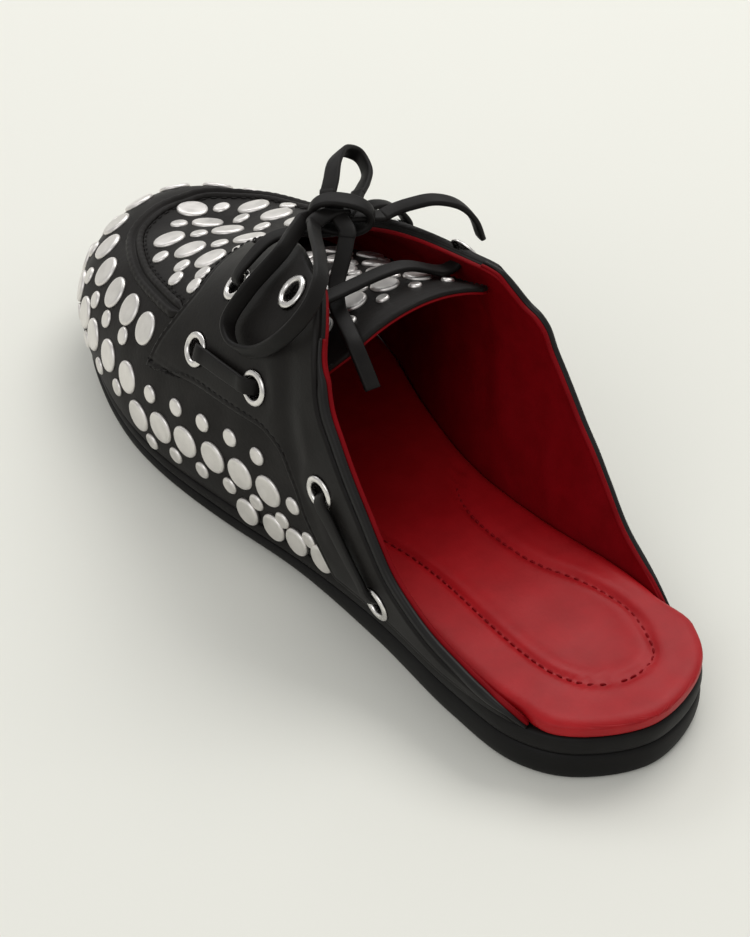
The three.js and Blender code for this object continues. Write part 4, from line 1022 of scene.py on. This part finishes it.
def saddle_piece(side):
    sg = SIDES[side]
    A, AP, cn = edge_curve(side, 2.95, 1.1)
    b2 = catmull(SADDLE[side][::-1], 14)
    bu, bw = find(sg, "yz", b2)
    BP = skin(bu, bw)
    ok = (BP[:, 2] > rand_top(BP[:, 1]) + GAP + 0.3) & (np.abs(BP[:, 1:] - b2).max(1) < 0.4)
    bu, bw, BP = bu[ok], bw[ok], BP[ok]
    u_start = A[0, 0]
    fu = np.linspace(u_start, bu[0], 80)[:-1]
    fw = np.full(len(fu), 0.004) + (bw[0] - 0.004) * np.clip((np.arange(len(fu)) / len(fu) - 0.9) / 0.1, 0, 1) * 0.5
    Bu, Bw = np.concatenate([fu, bu]), np.concatenate([fw, bw])
    BP = skin(Bu, Bw)
    sa, sb = arc(AP), arc(BP)
    ka, kb = [0.0], [0.0]
    for ya, tb in SADDLE_KEYS[side]:
        a = sa[cn] if ya is None else float(sa[int(np.argmin(np.abs(AP[:, 1] - ya) + (1e3 * (np.arange(len(AP)) < cn) if ya > 110 else 1e3 * (np.arange(len(AP)) > cn))))])
        b = float(sb[int(np.argmin(np.abs(BP[:, 1] - ya)))]) if tb is None else nearest_s(BP, sb, tb)
        ka.append(a)
        kb.append(b)
    ka.append(sa[-1])
    kb.append(sb[-1])
    t = []
    for i in range(len(ka) - 1):
        n = max(int(max(ka[i + 1] - ka[i], kb[i + 1] - kb[i]) / 0.85), 3)
        t.extend((i + np.arange(n) / n).tolist())
    # close columns at the front edge, for its rounded border
    tail_len = max(sa[-1] - ka[-2], 1.0)
    t = [v for v in t if v < len(ka) - 1 - 3.4 / tail_len] + [len(ka) - 1 - d / tail_len for d in (3.4, 2.8, 2.3, 1.9, 1.5, 1.1, 0.8, 0.5, 0.25, 0.0)]
    t = np.array(t)
    q = np.arange(len(ka))
    ta, tb = np.interp(t, q, ka), np.interp(t, q, kb)
    Au = np.stack([np.interp(ta, sa, A[:, 0]), np.interp(ta, sa, A[:, 1])], 1)
    Bc = np.stack([np.interp(tb, sb, Bu), np.interp(tb, sb, Bw)], 1)
    f = np.linspace(0, 1, 61)
    UW = Au[:, None, :] * f[None, :, None] + Bc[:, None, :] * (1 - f)[None, :, None]
    # the front edge runs straight across the foot
    endA, endB = skin(*Au[-1]), skin(*Bc[-1])
    fr = catmull(SADDLE_FRONT[side], 20)
    fr[0], fr[-1] = endB[:2], endA[:2]
    zed = np.interp(np.linspace(0, 1, len(fr)), [0, 0.25, 0.45, 0.6, 1], [endB[2], 50, 57.5, 63, endA[2]])
    keys = arc(np.column_stack([fr, zed]))
    xs = np.interp(f * keys[-1], keys, fr[:, 0])
    ys = np.interp(f * keys[-1], keys, fr[:, 1])
    g = UW[-1]
    fu_, fw_ = find(sg, "xy", np.stack([xs, ys], 1), guess=(g[:, 0], g[:, 1]))
    exact = np.stack([fu_, fw_], 1)
    good = (np.abs(exact - g).max(1) < 0.16) & (np.abs(skin(fu_, fw_)[:, :2] - np.stack([xs, ys], 1)).max(1) < 0.15)
    good[0] = good[-1] = True
    exact[0], exact[-1] = g[0], g[-1]
    ok_f = f[good]
    dev = np.stack([np.interp(f, ok_f, (exact - g)[good, i]) for i in (0, 1)], 1)
    for _ in range(3):
        dev[1:-1] = 0.5 * dev[1:-1] + 0.25 * (dev[:-2] + dev[2:])
    wt = np.clip((t - (len(ka) - 2.6)) / 1.6, 0, 1) ** 1.6
    UW = UW + dev[None] * wt[:, None, None]
    PP = skin(UW[..., 0], UW[..., 1])
    S = np.concatenate([np.zeros((len(t), 1)), np.cumsum(np.linalg.norm(np.diff(PP, axis=1), axis=2), axis=1)], 1)
    near = np.array([0, 0.25, 0.5, 0.8, 1.15, 1.5, 1.75, 1.95, 2.2, 2.6, 3.2])
    R = 72
    G = np.zeros((len(t), R, 2))
    for k in range(len(t)):
        L = S[k, -1]
        z = min(1.0, L / 9.0)
        mid = np.linspace(near[-1] * z, L - near[-1] * z, R - 2 * len(near) + 2)
        d = np.concatenate([near * z, mid[1:-1], (L - near * z)[::-1]])
        G[k, :, 0] = np.interp(d, S[k], UW[k, :, 0])
        G[k, :, 1] = np.interp(d, S[k], UW[k, :, 1])
    nc = len(t)
    P = skin(G[..., 0], G[..., 1])
    N = skin_normal(G[..., 0], G[..., 1])
    border = np.concatenate([P[:, 0], P[:, -1], P[-1]])
    fine_border = np.concatenate([resample(P[:, 0], 500), resample(P[:, -1], 500), resample(P[-1], 160)])
    flat = P.reshape(-1, 3)
    d = near_dist(flat, fine_border)
    r = 1.1
    prof = np.sqrt(np.maximum(1 - (1 - np.minimum(d / r, 1)) ** 2, 0))
    top_edge = near_dist(flat, resample(P[:, -1], 500))
    thin = np.repeat(smooth01(arc(P[:, R // 2]) / 26), R) * 0.85 + 0.15
    groove_in = -0.22 * np.exp(-(((d - 1.95) / 0.42) ** 2)) * (top_edge > 3.2)
    c = soft_creases(flat)
    top = c + (0.4 + 1.35 * prof + groove_in) * thin
    idx = np.arange(nc * R).reshape(nc, R)
    F = np.stack([idx[:-1, :-1].ravel(), idx[1:, :-1].ravel(), idx[1:, 1:].ravel(), idx[:-1, 1:].ravel()], 1)
    top, bot = sunk(flat, top, c - 0.35, c - 1.5, c - 1.8)
    verts, faces = thicken(flat, N.reshape(-1, 3), F, top, bot, rim=2, bulge=0.12)
    ob = piece("saddle_%s_piece" % side, verts, faces, saddle_calf, slot="saddle_leather", replaces=("saddle_" + side,))
    recalc(ob)
    # stitches beside the lower and front borders
    k0 = int(np.argmax(tb > nearest_s(BP, sb, (100, 23)) - 4))
    row = 7
    lineP = P[k0:-8, row] + N[k0:-8, row] * (soft_creases(P[k0:-8, row]) + 1.52)[:, None]
    stitches_along(thread, lineP, N[k0:-8, row])
    colP = P[-7, 6:-6] + N[-7, 6:-6] * (soft_creases(P[-7, 6:-6]) + 1.52)[:, None]
    stitches_along(thread, colP, N[-7, 6:-6])
    return ob


for side in ("lateral", "medial"):
    saddle_piece(side)

# ---------------------------------------------------------------- the moccasin seam
SEAM = [(0.6955, 0.545), (0.6760, 0.58), (0.6539, 0.608), (0.6146, 0.615), (0.5667, 0.679), (0.4955, 0.754), (0.4385, 0.660), (0.4085, 0.605), (0.3806, 0.575), (0.3510, 0.545), (0.3241, 0.525), (0.3051, 0.505), (0.3010, 0.502)]
sm = catmull([(a, b * 0.4) for a, b in SEAM], 30)
sm[:, 1] /= 0.4
for _ in range(12):
    sm[1:-1] = 0.5 * sm[1:-1] + 0.25 * (sm[:-2] + sm[2:])
SP = skin(sm[:, 0], sm[:, 1])
SPr, skey = resample(SP, int(arc(SP)[-1] / 0.8), sm)
SN = skin_normal(skey[:, 0], skey[:, 1])
SPr = skin(skey[:, 0], skey[:, 1])
SPr = SPr + SN * soft_creases(SPr)[:, None]
s_ = arc(SPr)
pucker = (1 + 0.035 * np.sin(s_ * 2 * np.pi / 3.3)) * (0.35 + 0.65 * smooth01(np.minimum(s_, s_[-1] - s_) / 4))
TWIN = [(-3.3, -0.3), (-3.15, 0.35), (-2.8, 1.05), (-2.25, 1.55), (-1.65, 1.7), (-1.05, 1.5), (-0.6, 0.95), (-0.25, 0.35), (0.1, 0.25), (0.45, 0.6), (0.9, 1.05), (1.5, 1.22), (2.1, 1.05), (2.55, 0.5), (2.8, -0.3)]
soup = Soup()
v, f = strip_along(SPr, SN, TWIN, scale=pucker)
soup.add(v, f)
ob = soup.done("moc_seam", calf, slot="black_leather")
recalc(ob)
seam_side = np.cross(SN, unit(np.gradient(SPr, axis=0)))
stitches_along(thread, SPr + seam_side * 3.35 + SN * 0.06, SN, pitch=3.3, length=2.1, w=0.24, h=0.2)

# ---------------------------------------------------------------- studs
BIG = [(0, 0.86), (2.2, 0.86), (3.8, 0.85), (4.15, 0.835), (4.4, 0.78), (4.7, 0.62), (4.93, 0.34), (5.0, 0.05), (4.95, -0.5)]
SMALL = [(0, 0.82), (1.2, 0.82), (1.95, 0.81), (2.15, 0.79), (2.35, 0.7), (2.6, 0.48), (2.74, 0.2), (2.75, 0.05), (2.7, -0.5)]
studs = {"wall": Soup(), "apron": Soup(), "tongue": Soup()}


def stud(group, u, w, big, scale=1.0, lift=0.0, face=None):
    P = skin(u, w)
    N = skin_normal(u, w if face is None else face)
    p = P + N * (soft_creases(P) + lift)
    capped([(r * scale, h) for r, h in (BIG if big else SMALL)], 28 if big else 22, p, N, studs[group])


SIDE_BIG = list(zip((0.3110, 0.2962, 0.2812, 0.2660, 0.2519, 0.2376), (0.165, 0.182, 0.186, 0.185, 0.179, 0.174)))
SIDE_UP = list(zip((0.3029, 0.2867, 0.2714, 0.2569, 0.2427), (0.277, 0.2785, 0.271, 0.266, 0.254)))
SIDE_LOW = list(zip((0.3037, 0.2882, 0.2728, 0.2581, 0.2445), (0.080, 0.100, 0.111, 0.115, 0.110)))
REAR_BIG = list(zip((0.2495, 0.2362, 0.2244, 0.2110), (0.052, 0.052, 0.052, 0.054)))
REAR_SMALL = [(0.2248, 0.173), (0.2317, 0.098), (0.2180, 0.087)]
TOE_RINGS = [
    (list(zip((0.3178, 0.3361, 0.3568, 0.3800, 0.4082), (0.431, 0.446, 0.448, 0.458, 0.482))), 0.49, True),
    (list(zip((0.3310, 0.3506, 0.3706, 0.3953), (0.377, 0.372, 0.372, 0.379))), 0.385, False),
    (list(zip((0.3207, 0.3392, 0.3603, 0.3777), (0.274, 0.281, 0.270, 0.285))), 0.29, True),
    ([(0.3289, 0.197), (0.3496, 0.179)], 0.185, False),
]
for a, b in SIDE_BIG:
    stud("wall", a, b, True)
    stud("wall", 1 - a, b, True)
for a, b in SIDE_UP + SIDE_LOW + REAR_SMALL:
    stud("wall", a, b, False)
    stud("wall", 1 - a, b, False)
for a, b in REAR_BIG:
    stud("wall", a, b, True, scale=0.88, lift=0.75, face=0.15)
    stud("wall", 1 - a, b, True, scale=0.88, lift=0.75, face=0.15)
for pts, wm, big in TOE_RINGS:
    for a, b in pts:
        stud("wall", a, b, big)
        stud("wall", 1 - a, b, big)
    u0, w0 = pts[-1]
    uu = np.linspace(u0, 1 - u0, 240)
    ww = w0 + (wm - w0) * np.sin(np.pi * (uu - u0) / (1 - 2 * u0))
    L = skin(uu, ww)
    n = max(int(round(arc(L)[-1] / 14.6)), 2)
    at_s = np.linspace(0, arc(L)[-1], n + 1)[1:-1]
    for v_ in at_s:
        stud("wall", float(np.interp(v_, arc(L), uu)), float(np.interp(v_, arc(L), ww)), big)
APRON_BIG = [(-18.8, 183.0), (-17.2, 197.6), (-15.8, 212.6), (-3.3, 186.8), (-0.8, 203.6), (0.8, 218.2), (2.6, 230.6), (13.2, 185.2), (14.0, 199.9), (14.8, 214.4)]
APRON_SMALL = [(-29.0, 174.9), (-24.8, 177.0), (-28.6, 186.2), (-24.2, 190.2), (-23.4, 204.4), (-10.6, 191.6), (-8.4, 207.6), (-6.6, 223.0), (-11.2, 178.4), (5.6, 194.4), (7.4, 209.4), (9.4, 224.6),
               (21.6, 192.0), (22.0, 206.0), (24.0, 178.6), (28.6, 176.4), (26.6, 187.4)]
for lst, big in ((APRON_BIG, True), (APRON_SMALL, False)):
    for x_, y_ in lst:
        sg = -1 if x_ < float(ridge_x(y_)) else 1
        u, w = find(sg, "xy", [(x_, y_)], guess=(0.36 if sg < 0 else 0.64, 0.75))
        stud("apron", float(u[0]), float(w[0]), big)
for g_name in ("wall", "apron"):
    ob = studs[g_name].done("studs_" + g_name, silver, slot="silver_metal")
    recalc(ob)

# ---------------------------------------------------------------- the tongue
TONGUE = [(110.5, 6, 80, 0.0118, -20, 24.5), (112, 6, 79.8, 0.0118, -24.5, 27), (116, 5.5, 78.6, 0.0122, -27, 27.9), (130, 4, 74.6, 0.0125, -27.5, 27.6), (150, 3.4, 67.6, 0.0120, -26, 26.5),
          (165, 3.2, 62.3, 0.0112, -24, 25), (180, 2.6, 56.8, 0.0105, -22, 23.5), (192, 2.6, 53.4, 0.0095, -19, 21), (200, 2.8, 50.6, 0.0085, -14, 17)]
tx, tz, tf, tl, tm = [column(TONGUE, k) for k in range(1, 6)]


def tongue_at(x, y, off=0.0):
    x, y = np.asarray(x, float), np.asarray(y, float)
    z = tz(y) - tf(y) * (x - tx(y)) ** 2
    # soft pull folds where the lace draws it down
    z = z - 0.35 * np.exp(-(((y - 148.5 - 0.1 * x) / 4.5) ** 2)) + 0.25 * np.exp(-(((y - 138 + 0.08 * x) / 5) ** 2)) - 0.2 * np.exp(-(((y - 122) / 3.5) ** 2))
    return np.stack([x, y, z + off], -1)


def tongue_pieces():
    ys = np.concatenate([[110.5, 110.62, 110.85, 111.2, 111.7, 112.4], np.linspace(113.4, 200, 92)])
    fx = np.concatenate([[0, 0.004, 0.012, 0.025, 0.045], np.linspace(0.07, 0.93, 44), [0.955, 0.975, 0.988, 0.996, 1]])
    Y, FX = np.meshgrid(ys, fx, indexing="ij")
    X = tl(Y) + (tm(Y) - tl(Y)) * FX
    P = tongue_at(X, Y)
    e = 0.2
    N = unit(np.cross(tongue_at(X + e, Y) - tongue_at(X - e, Y), tongue_at(X, Y + e) - tongue_at(X, Y - e)))
    nr, nc = Y.shape
    idx = np.arange(nr * nc).reshape(nr, nc)
    F = np.stack([idx[:-1, :-1].ravel(), idx[:-1, 1:].ravel(), idx[1:, 1:].ravel(), idx[1:, :-1].ravel()], 1)
    V, N = P.reshape(-1, 3), N.reshape(-1, 3)
    edge = np.concatenate([resample(P[0], 160), resample(P[:, 0], 260), resample(P[:, -1], 260)])
    d = near_dist(V, edge)
    prof = np.sqrt(np.maximum(1 - (1 - np.minimum(d / 0.8, 1)) ** 2, 0))
    band = -0.12 * np.exp(-(((d - 2.1) / 0.45) ** 2))
    verts, faces = thicken(V, N, F, -0.55 + 0.55 * prof + band, -1.35, rim=2, bulge=0.1)
    a = piece("tongue_leather", verts, faces, calf, slot="black_leather", replaces=("tongue",))
    recalc(a)
    verts, faces = thicken(V, N, F, -1.36, -2.15, rim=2, bulge=0.35)
    b = piece("tongue_lining", verts, faces, lining_red_painted_shade, slot="red_leather")
    recalc(b)
    # stitches along its two side edges
    for lo, hi, c in ((4, None, 2), (4, None, -3)):
        line = P[lo:60, c] + N.reshape(nr, nc, 3)[lo:60, c] * -0.12
        stitches_along(thread, line, N.reshape(nr, nc, 3)[lo:60, c])
    return a


tongue_pieces()


def tongue_stud(x, y, big):
    p = tongue_at(x, y)
    e = 0.2
    n = unit(np.cross(tongue_at(x + e, y) - tongue_at(x - e, y), tongue_at(x, y + e) - tongue_at(x, y - e)))
    k = 0.82 if big else 0.7
    capped([(r * k, h) for r, h in (BIG if big else SMALL)], 28 if big else 22, p, n, studs["tongue"])


for row, (y_, x0, step, big) in enumerate((
    (127.2, -17.6, 10.6, True), (137.8, -12.4, 10.8, True), (148.4, -17.6, 10.8, True), (159.0, -12.4, 10.8, True), (170.0, -6.6, 10.8, True),
    (120.6, -22.9, 10.6, False), (131.2, -22.9, 10.7, False), (141.8, -17.8, 10.8, False), (152.4, -12.2, 10.8, False), (163.0, -7.0, 10.8, False),
)):
    k = 0
    while x0 + step * k < float(tm(y_)) - (4.9 if big else 3.4):
        x_ = x0 + step * k + 0.15 * math.sin(2.1 * k + row)
        yy = y_ + 0.15 * math.sin(1.7 * k + 2.3 * row)
        if x_ > float(tl(yy)) + (4.9 if big else 3.4):
            tongue_stud(x_, yy, big)
        k += 1
ob = studs["tongue"].done("studs_tongue", silver, slot="silver_metal")
recalc(ob)

# ---------------------------------------------------------------- sole
SOLE_U = (1 - np.cos(np.pi * np.linspace(0, 1, 161))) / 2 * 0 + np.linspace(0, 1, 161)


def sole_layer(name, low, high, rings, mat, slot, node, dish=0.0):
    """A layer of the sole: closed rings from its underside to its top, with caps of close rows."""
    nu = 220
    u = np.linspace(0, 1, nu + 1)[:-1]
    V, F = [], []
    for k, f in rings:
        q = foot_at(k, u)
        z = low(q[:, 1]) * (1 - f) + high(q[:, 1]) * f
        V.append(np.column_stack([q, z]))
    m = len(rings)
    for r in range(m - 1):
        for i in range(nu):
            j = (i + 1) % nu
            F.append((r * nu + i, (r + 1) * nu + i, (r + 1) * nu + j, r * nu + j))
    for ring in (0, m - 1):
        b = ring * nu
        for i in range(1, nu // 2):
            j = i + 1
            lo, lo2, hi, hi2 = b + i, b + j, b + (nu - i) % nu, b + (nu - j) % nu
            quad = (lo, lo2, hi2, hi) if lo2 != hi2 else (lo, lo2, hi)
            F.append(quad)
        F.append((b, b + 1, b + nu - 1))
    ob = piece(name, np.concatenate(V), F, mat, slot=slot, replaces=(node,))
    recalc(ob)
    return ob


sole_layer("outsole_piece", under, lambda y: groove(y) - 0.05,
           [(3.2, 0), (2.0, 0.0), (1.2, 0.02), (0.7, 0.09), (0.35, 0.22), (0.12, 0.36), (0, 0.5), (0, 0.74), (0.12, 0.86), (0.4, 0.95), (1.0, 1.0), (3.0, 1.0)], rubber, "sole_rubber", "outsole")
sole_layer("rand_piece", lambda y: groove(y) + 0.05, rand_top,
           [(3.0, 0), (1.1, 0.0), (0.55, 0.06), (0.2, 0.18), (0.05, 0.34), (0.0, 0.5), (0.03, 0.66), (0.16, 0.82), (0.4, 0.93), (0.85, 1.0), (1.6, 1.02), (3.4, 1.0)], rand_calf, "black_leather", "rand")


# ---------------------------------------------------------------- the padded insole
GROOVE_PATH = [(-18.5, 104), (-17.1, 97.4), (-14.9, 85.2), (-14.2, 69.1), (-14.4, 61.1), (-14.6, 51.1), (-14.2, 38.9), (-12.5, 27.8), (-7.8, 19.4), (-0.5, 15.4), (6.8, 15.2), (13.4, 18.2), (16.6, 24.8),
               (18.8, 34.5), (17.9, 43.6), (15.0, 53.4), (10.6, 63.4), (8.4, 77.0), (9.2, 94.6), (14.7, 107.5), (21.1, 112.6), (26.1, 113.2)]
gpath = catmull(GROOVE_PATH, 16)
for _ in range(10):
    gpath[1:-1] = 0.5 * gpath[1:-1] + 0.25 * (gpath[:-2] + gpath[2:])


def bed_inset(y):
    return 0.35 + (FEATHER_IN + WALL + 0.25 - 0.35) * smooth01((np.asarray(y, float) - 15) / 12)


def bed_outline(u):
    """The insole's edge: the sole's own edge round the heel, inside the upper's wall ahead of it."""
    a, b = foot_at(0.35, u), foot_at(FEATHER_IN + WALL + 0.25, u)
    f = smooth01((a[:, 1] - 17) / 12)[:, None]
    lat = (u <= 0.5)[:, None]
    f = np.where(lat, smooth01((a[:, 1:] - 12) / 9), smooth01((a[:, 1:] - 22) / 11))
    return a * (1 - f) + b * f


def bed_height(x, y, d):
    """Height of the insole's top at a distance d inside its edge."""
    h = 0.62 + 0.38 * np.sqrt(np.maximum(1 - (1 - np.minimum(d / 3.6, 1)) ** 2, 0))
    z = rand_top(y) + GAP + 4.6 * h
    z = z - 0.8 * smooth01(d / 22)
    g = np.min(np.hypot(x[..., None] - gpath[:, 0], y[..., None] - gpath[:, 1]), axis=-1)
    fade = smooth01((119 - y) / 10)
    z = z - 1.05 * np.exp(-((g / 0.85) ** 2)) * fade + 0.28 * np.exp(-(((g - 3.2) / 2.0) ** 2)) * fade
    # the pressed heel seat
    z = z - 0.45 * np.exp(-(((x - 1) / 11) ** 2 + ((y - 40) / 17) ** 2))
    return z


def footbed_piece():
    nu = 240
    u = np.linspace(0, 1, nu + 1)[:-1]
    top = bed_outline(u)
    half = nu // 2
    rows = []
    C = 84
    fx = (1 - np.cos(np.pi * np.linspace(0, 1, C))) / 2 * 0.5 + np.linspace(0, 1, C) * 0.5
    V, F = [], []
    ring = np.arange(nu)
    z_edge = rand_top(top[:, 1]) + GAP + 4.6 * 0.62
    V = [np.column_stack([top, z_edge])]
    n0 = nu
    rowid = []
    for i in range(1, half):
        a, b = top[i], top[nu - i]
        x = a[0] + (b[0] - a[0]) * fx[1:-1]
        y = a[1] + (b[1] - a[1]) * fx[1:-1]
        rows.append(np.column_stack([x, y]))
        rowid.append([i] + list(range(n0, n0 + C - 2)) + [nu - i])
        n0 += C - 2
    XY = np.concatenate(rows)
    edge_pts = resample(np.concatenate([top, top[:1]]), 700)
    d = near_dist(XY, edge_pts)
    z = bed_height(XY[:, 0], XY[:, 1], d)
    V.append(np.column_stack([XY, z]))
    for r in range(len(rowid) - 1):
        for k in range(C - 1):
            F.append((rowid[r][k], rowid[r][k + 1], rowid[r + 1][k + 1], rowid[r + 1][k]))
    for k in range(C - 1):
        F.append((0, rowid[0][k + 1], rowid[0][k]))
        F.append((half, rowid[-1][k], rowid[-1][k + 1]))
    # the wall down to the rand
    c = top.mean(0)
    Tn = unit(np.roll(top, -1, 0) - np.roll(top, 1, 0))
    inward = np.stack([Tn[:, 1], -Tn[:, 0]], 1)
    base = n0
    prev = 0
    for k, f in ((0.0, 0.45), (0.05, 0.3), (0.35, 0.12), (0.9, 0.0), (2.5, 0.0)):
        q = top + inward * k
        V.append(np.column_stack([q, rand_top(top[:, 1]) + GAP - 0.15 + 4.6 * f]))
        for i in range(nu):
            j = (i + 1) % nu
            F.append((prev + i, prev + j, base + j, base + i))
        prev = base
        base += nu
    for i in range(1, half):
        j = i + 1
        lo, lo2, hi, hi2 = prev + i, prev + j, prev + nu - i, prev + nu - j
        F.append((lo, lo2, hi2, hi) if lo2 != hi2 else (lo, lo2, hi))
    F.append((prev, prev + 1, prev + nu - 1))
    ob = piece("footbed_pad", np.concatenate(V), F, bed_red, slot="red_leather", replaces=("footbed",))
    recalc(ob)
    red_thread = Soup()
    gp = resample(gpath, 900)
    keep = gp[:, 1] < 106
    gp = gp[keep]
    dd = np.full(len(gp), 10.0)
    zz = bed_height(gp[:, 0], gp[:, 1], dd)
    P = np.column_stack([gp, zz + 0.12])
    stitches_along(red_thread, P, np.tile([0, 0, 1.0], (len(P), 1)), pitch=3.0, length=2.0, w=0.3)
    red_thread.done("footbed_stitches", thread_red, slot="red_leather")
    return ob


footbed_piece()

# ---------------------------------------------------------------- laces drawn through the eyelets
BAR_PATH = [(0.5, -1.2), (0.5, 0.7), (0.9, 2.0), (2.0, 3.1), (4.2, 3.5), (6.2, 3.35)]


def sides_of(points, ups):
    P = np.array(points, float)
    T = unit(np.gradient(P, axis=0))
    Upv = np.array(ups, float)
    return np.cross(T, Upv)


def bar_points(a, b):
    (pa, na), (pb, nb) = a, b
    d = unit(pb - pa)
    pts, ups = [], []
    for x, h in BAR_PATH:
        pts.append(pa + d * x + na * h)
        k = smooth01((h - 0.6) / 2.5)
        ups.append(unit(na * k - d * (1 - k)))
    m = unit(na + nb)
    pts.append((pa + pb) / 2 + m * 3.4)
    ups.append(m)
    for x, h in BAR_PATH[::-1]:
        pts.append(pb - d * x + nb * h)
        k = smooth01((h - 0.6) / 2.5)
        ups.append(unit(nb * k + d * (1 - k)))
    return pts, ups


for side in ("lateral", "medial"):
    for tag, i, j in (("front", 1, 2), ("rear", 3, 4)):
        pts, ups = bar_points(eye["side_%d_%s" % (i, side)], eye["side_%d_%s" % (j, side)])
        v, f, _ = ribbon(pts, sides_of(pts, ups), width=4.7, thick=1.3, step=0.6)
        s = Soup()
        s.add(v, f)
        ob = s.done("lace_side_%s_%s_piece" % (tag, side), lace_calf, slot="lace_leather", replaces=("lace_side_%s_%s" % (tag, side),))
        recalc(ob)
UPZ = np.array([0, 0, 1.0])


def leg_ribbon(e, rest):
    p, n = e
    d = np.array(rest[0], float) - p
    d = unit(d - n * d.dot(n))
    pts = [p + d * x + n * h for x, h in ((0.2, -1.2), (0.3, 0.9), (0.9, 3.2))] + [np.array(r, float) for r in rest]
    ups = [-d, -d, unit(n - d)] + [unit(n + UPZ) if i == 0 else UPZ for i in range(len(rest))]
    return ribbon(pts, sides_of(pts, ups), width=4.3, thick=1.5, step=0.7)


s = Soup()
for e_name, rest in (("front_lateral", [(-22, 153.8, 80), (-15.5, 154.2, 83), (-9, 152.2, 83.8), (-3, 149.3, 82.9), (3.5, 147.6, 82.3)]),
                     ("front_medial", [(23.5, 152.6, 80), (17.5, 152.4, 83), (11.5, 151, 83.7), (7.5, 149.3, 82.9), (2.5, 147.4, 82.3)])):
    v, f, _ = leg_ribbon(eye[e_name], rest)
    s.add(v, f)
ob = s.done("lace_crossing_piece", lace_calf, slot="lace_leather", replaces=("lace_crossing",))
recalc(ob)
pa, na = eye["rear_lateral"]
pb, nb = eye["rear_medial"]
d_ = unit(pb - pa)
path = ((0.2, -0.2), (0.2, -1.4), (0.9, -3.3), (3.6, -3.9))
pts = [pa + d_ * x + na * h for x, h in path] + [np.array([8, (pa[1] + pb[1]) / 2, 80.6])] + [pb - d_ * x + nb * h for x, h in path[::-1]]
ups = [unit(q) for q in (d_, d_, d_ + UPZ, UPZ, UPZ, UPZ, UPZ - d_, -d_, -d_)]
v, f, _ = ribbon(pts, sides_of(pts, ups), width=4.7, thick=1.7, step=0.7)
s = Soup()
s.add(v, f)
ob = s.done("lace_bar_rear_piece", lace_calf, slot="lace_leather", replaces=("lace_bar_rear",))
recalc(ob)
ob = thread.done("stitches_black", thread_black, slot="black_leather")
recalc(ob)

# ---------------------------------------------------------------- floor and light
me = bpy.data.meshes.new("floor")
me.from_pydata([(-6, -6, 0), (6, -6, 0), (6, 6, 0), (-6, 6, 0)], [], [(0, 1, 2, 3)])
floor = bpy.data.objects.new("floor", me)
bpy.context.scene.collection.objects.link(floor)
m, nt, b = new_material("floor_paper")
b.inputs["Base Color"].default_value = (0.80, 0.80, 0.745, 1)
b.inputs["Roughness"].default_value = 0.9
b.inputs["Specular IOR Level"].default_value = 0.15
tc = nt.nodes.new("ShaderNodeTexCoord")
nz = nt.nodes.new("ShaderNodeTexNoise")
nz.inputs["Scale"].default_value = 900
nt.links.new(tc.outputs["Object"], nz.inputs["Vector"])
bp = nt.nodes.new("ShaderNodeBump")
bp.inputs["Strength"].default_value = 0.1
bp.inputs["Distance"].default_value = 0.0001
nt.links.new(nz.outputs["Fac"], bp.inputs["Height"])
nt.links.new(bp.outputs["Normal"], b.inputs["Normal"])
me.materials.append(m)

world = bpy.data.worlds.new("studio")
bpy.context.scene.world = world
world.use_nodes = True
bg = world.node_tree.nodes["Background"]
bg.inputs["Color"].default_value = (1.0, 0.995, 0.98, 1)
bg.inputs["Strength"].default_value = 0.55
bpy.context.scene.view_settings.view_transform = "Standard"


def area(name, where, target, size, power, colour=(1, 1, 1)):
    l = bpy.data.lights.new(name, "AREA")
    l.shape = "RECTANGLE"
    l.size, l.size_y = size
    l.energy = power
    l.color = colour
    o = bpy.data.objects.new(name, l)
    bpy.context.scene.collection.objects.link(o)
    o.location = where
    o.rotation_euler = (Vector(target) - Vector(where)).to_track_quat("-Z", "Y").to_euler()
    return o


area("key", (0.95, 0.45, 1.45), (0, 0, 0.04), (1.2, 1.0), 13, (1.0, 0.99, 0.97))
area("back", (0.15, 1.5, 1.2), (0, 0, 0.04), (1.4, 0.7), 6.5, (1.0, 1.0, 1.0))
area("fill", (-1.3, -0.7, 1.3), (0, 0, 0.03), (1.4, 1.1), 7, (1.0, 1.0, 1.0))
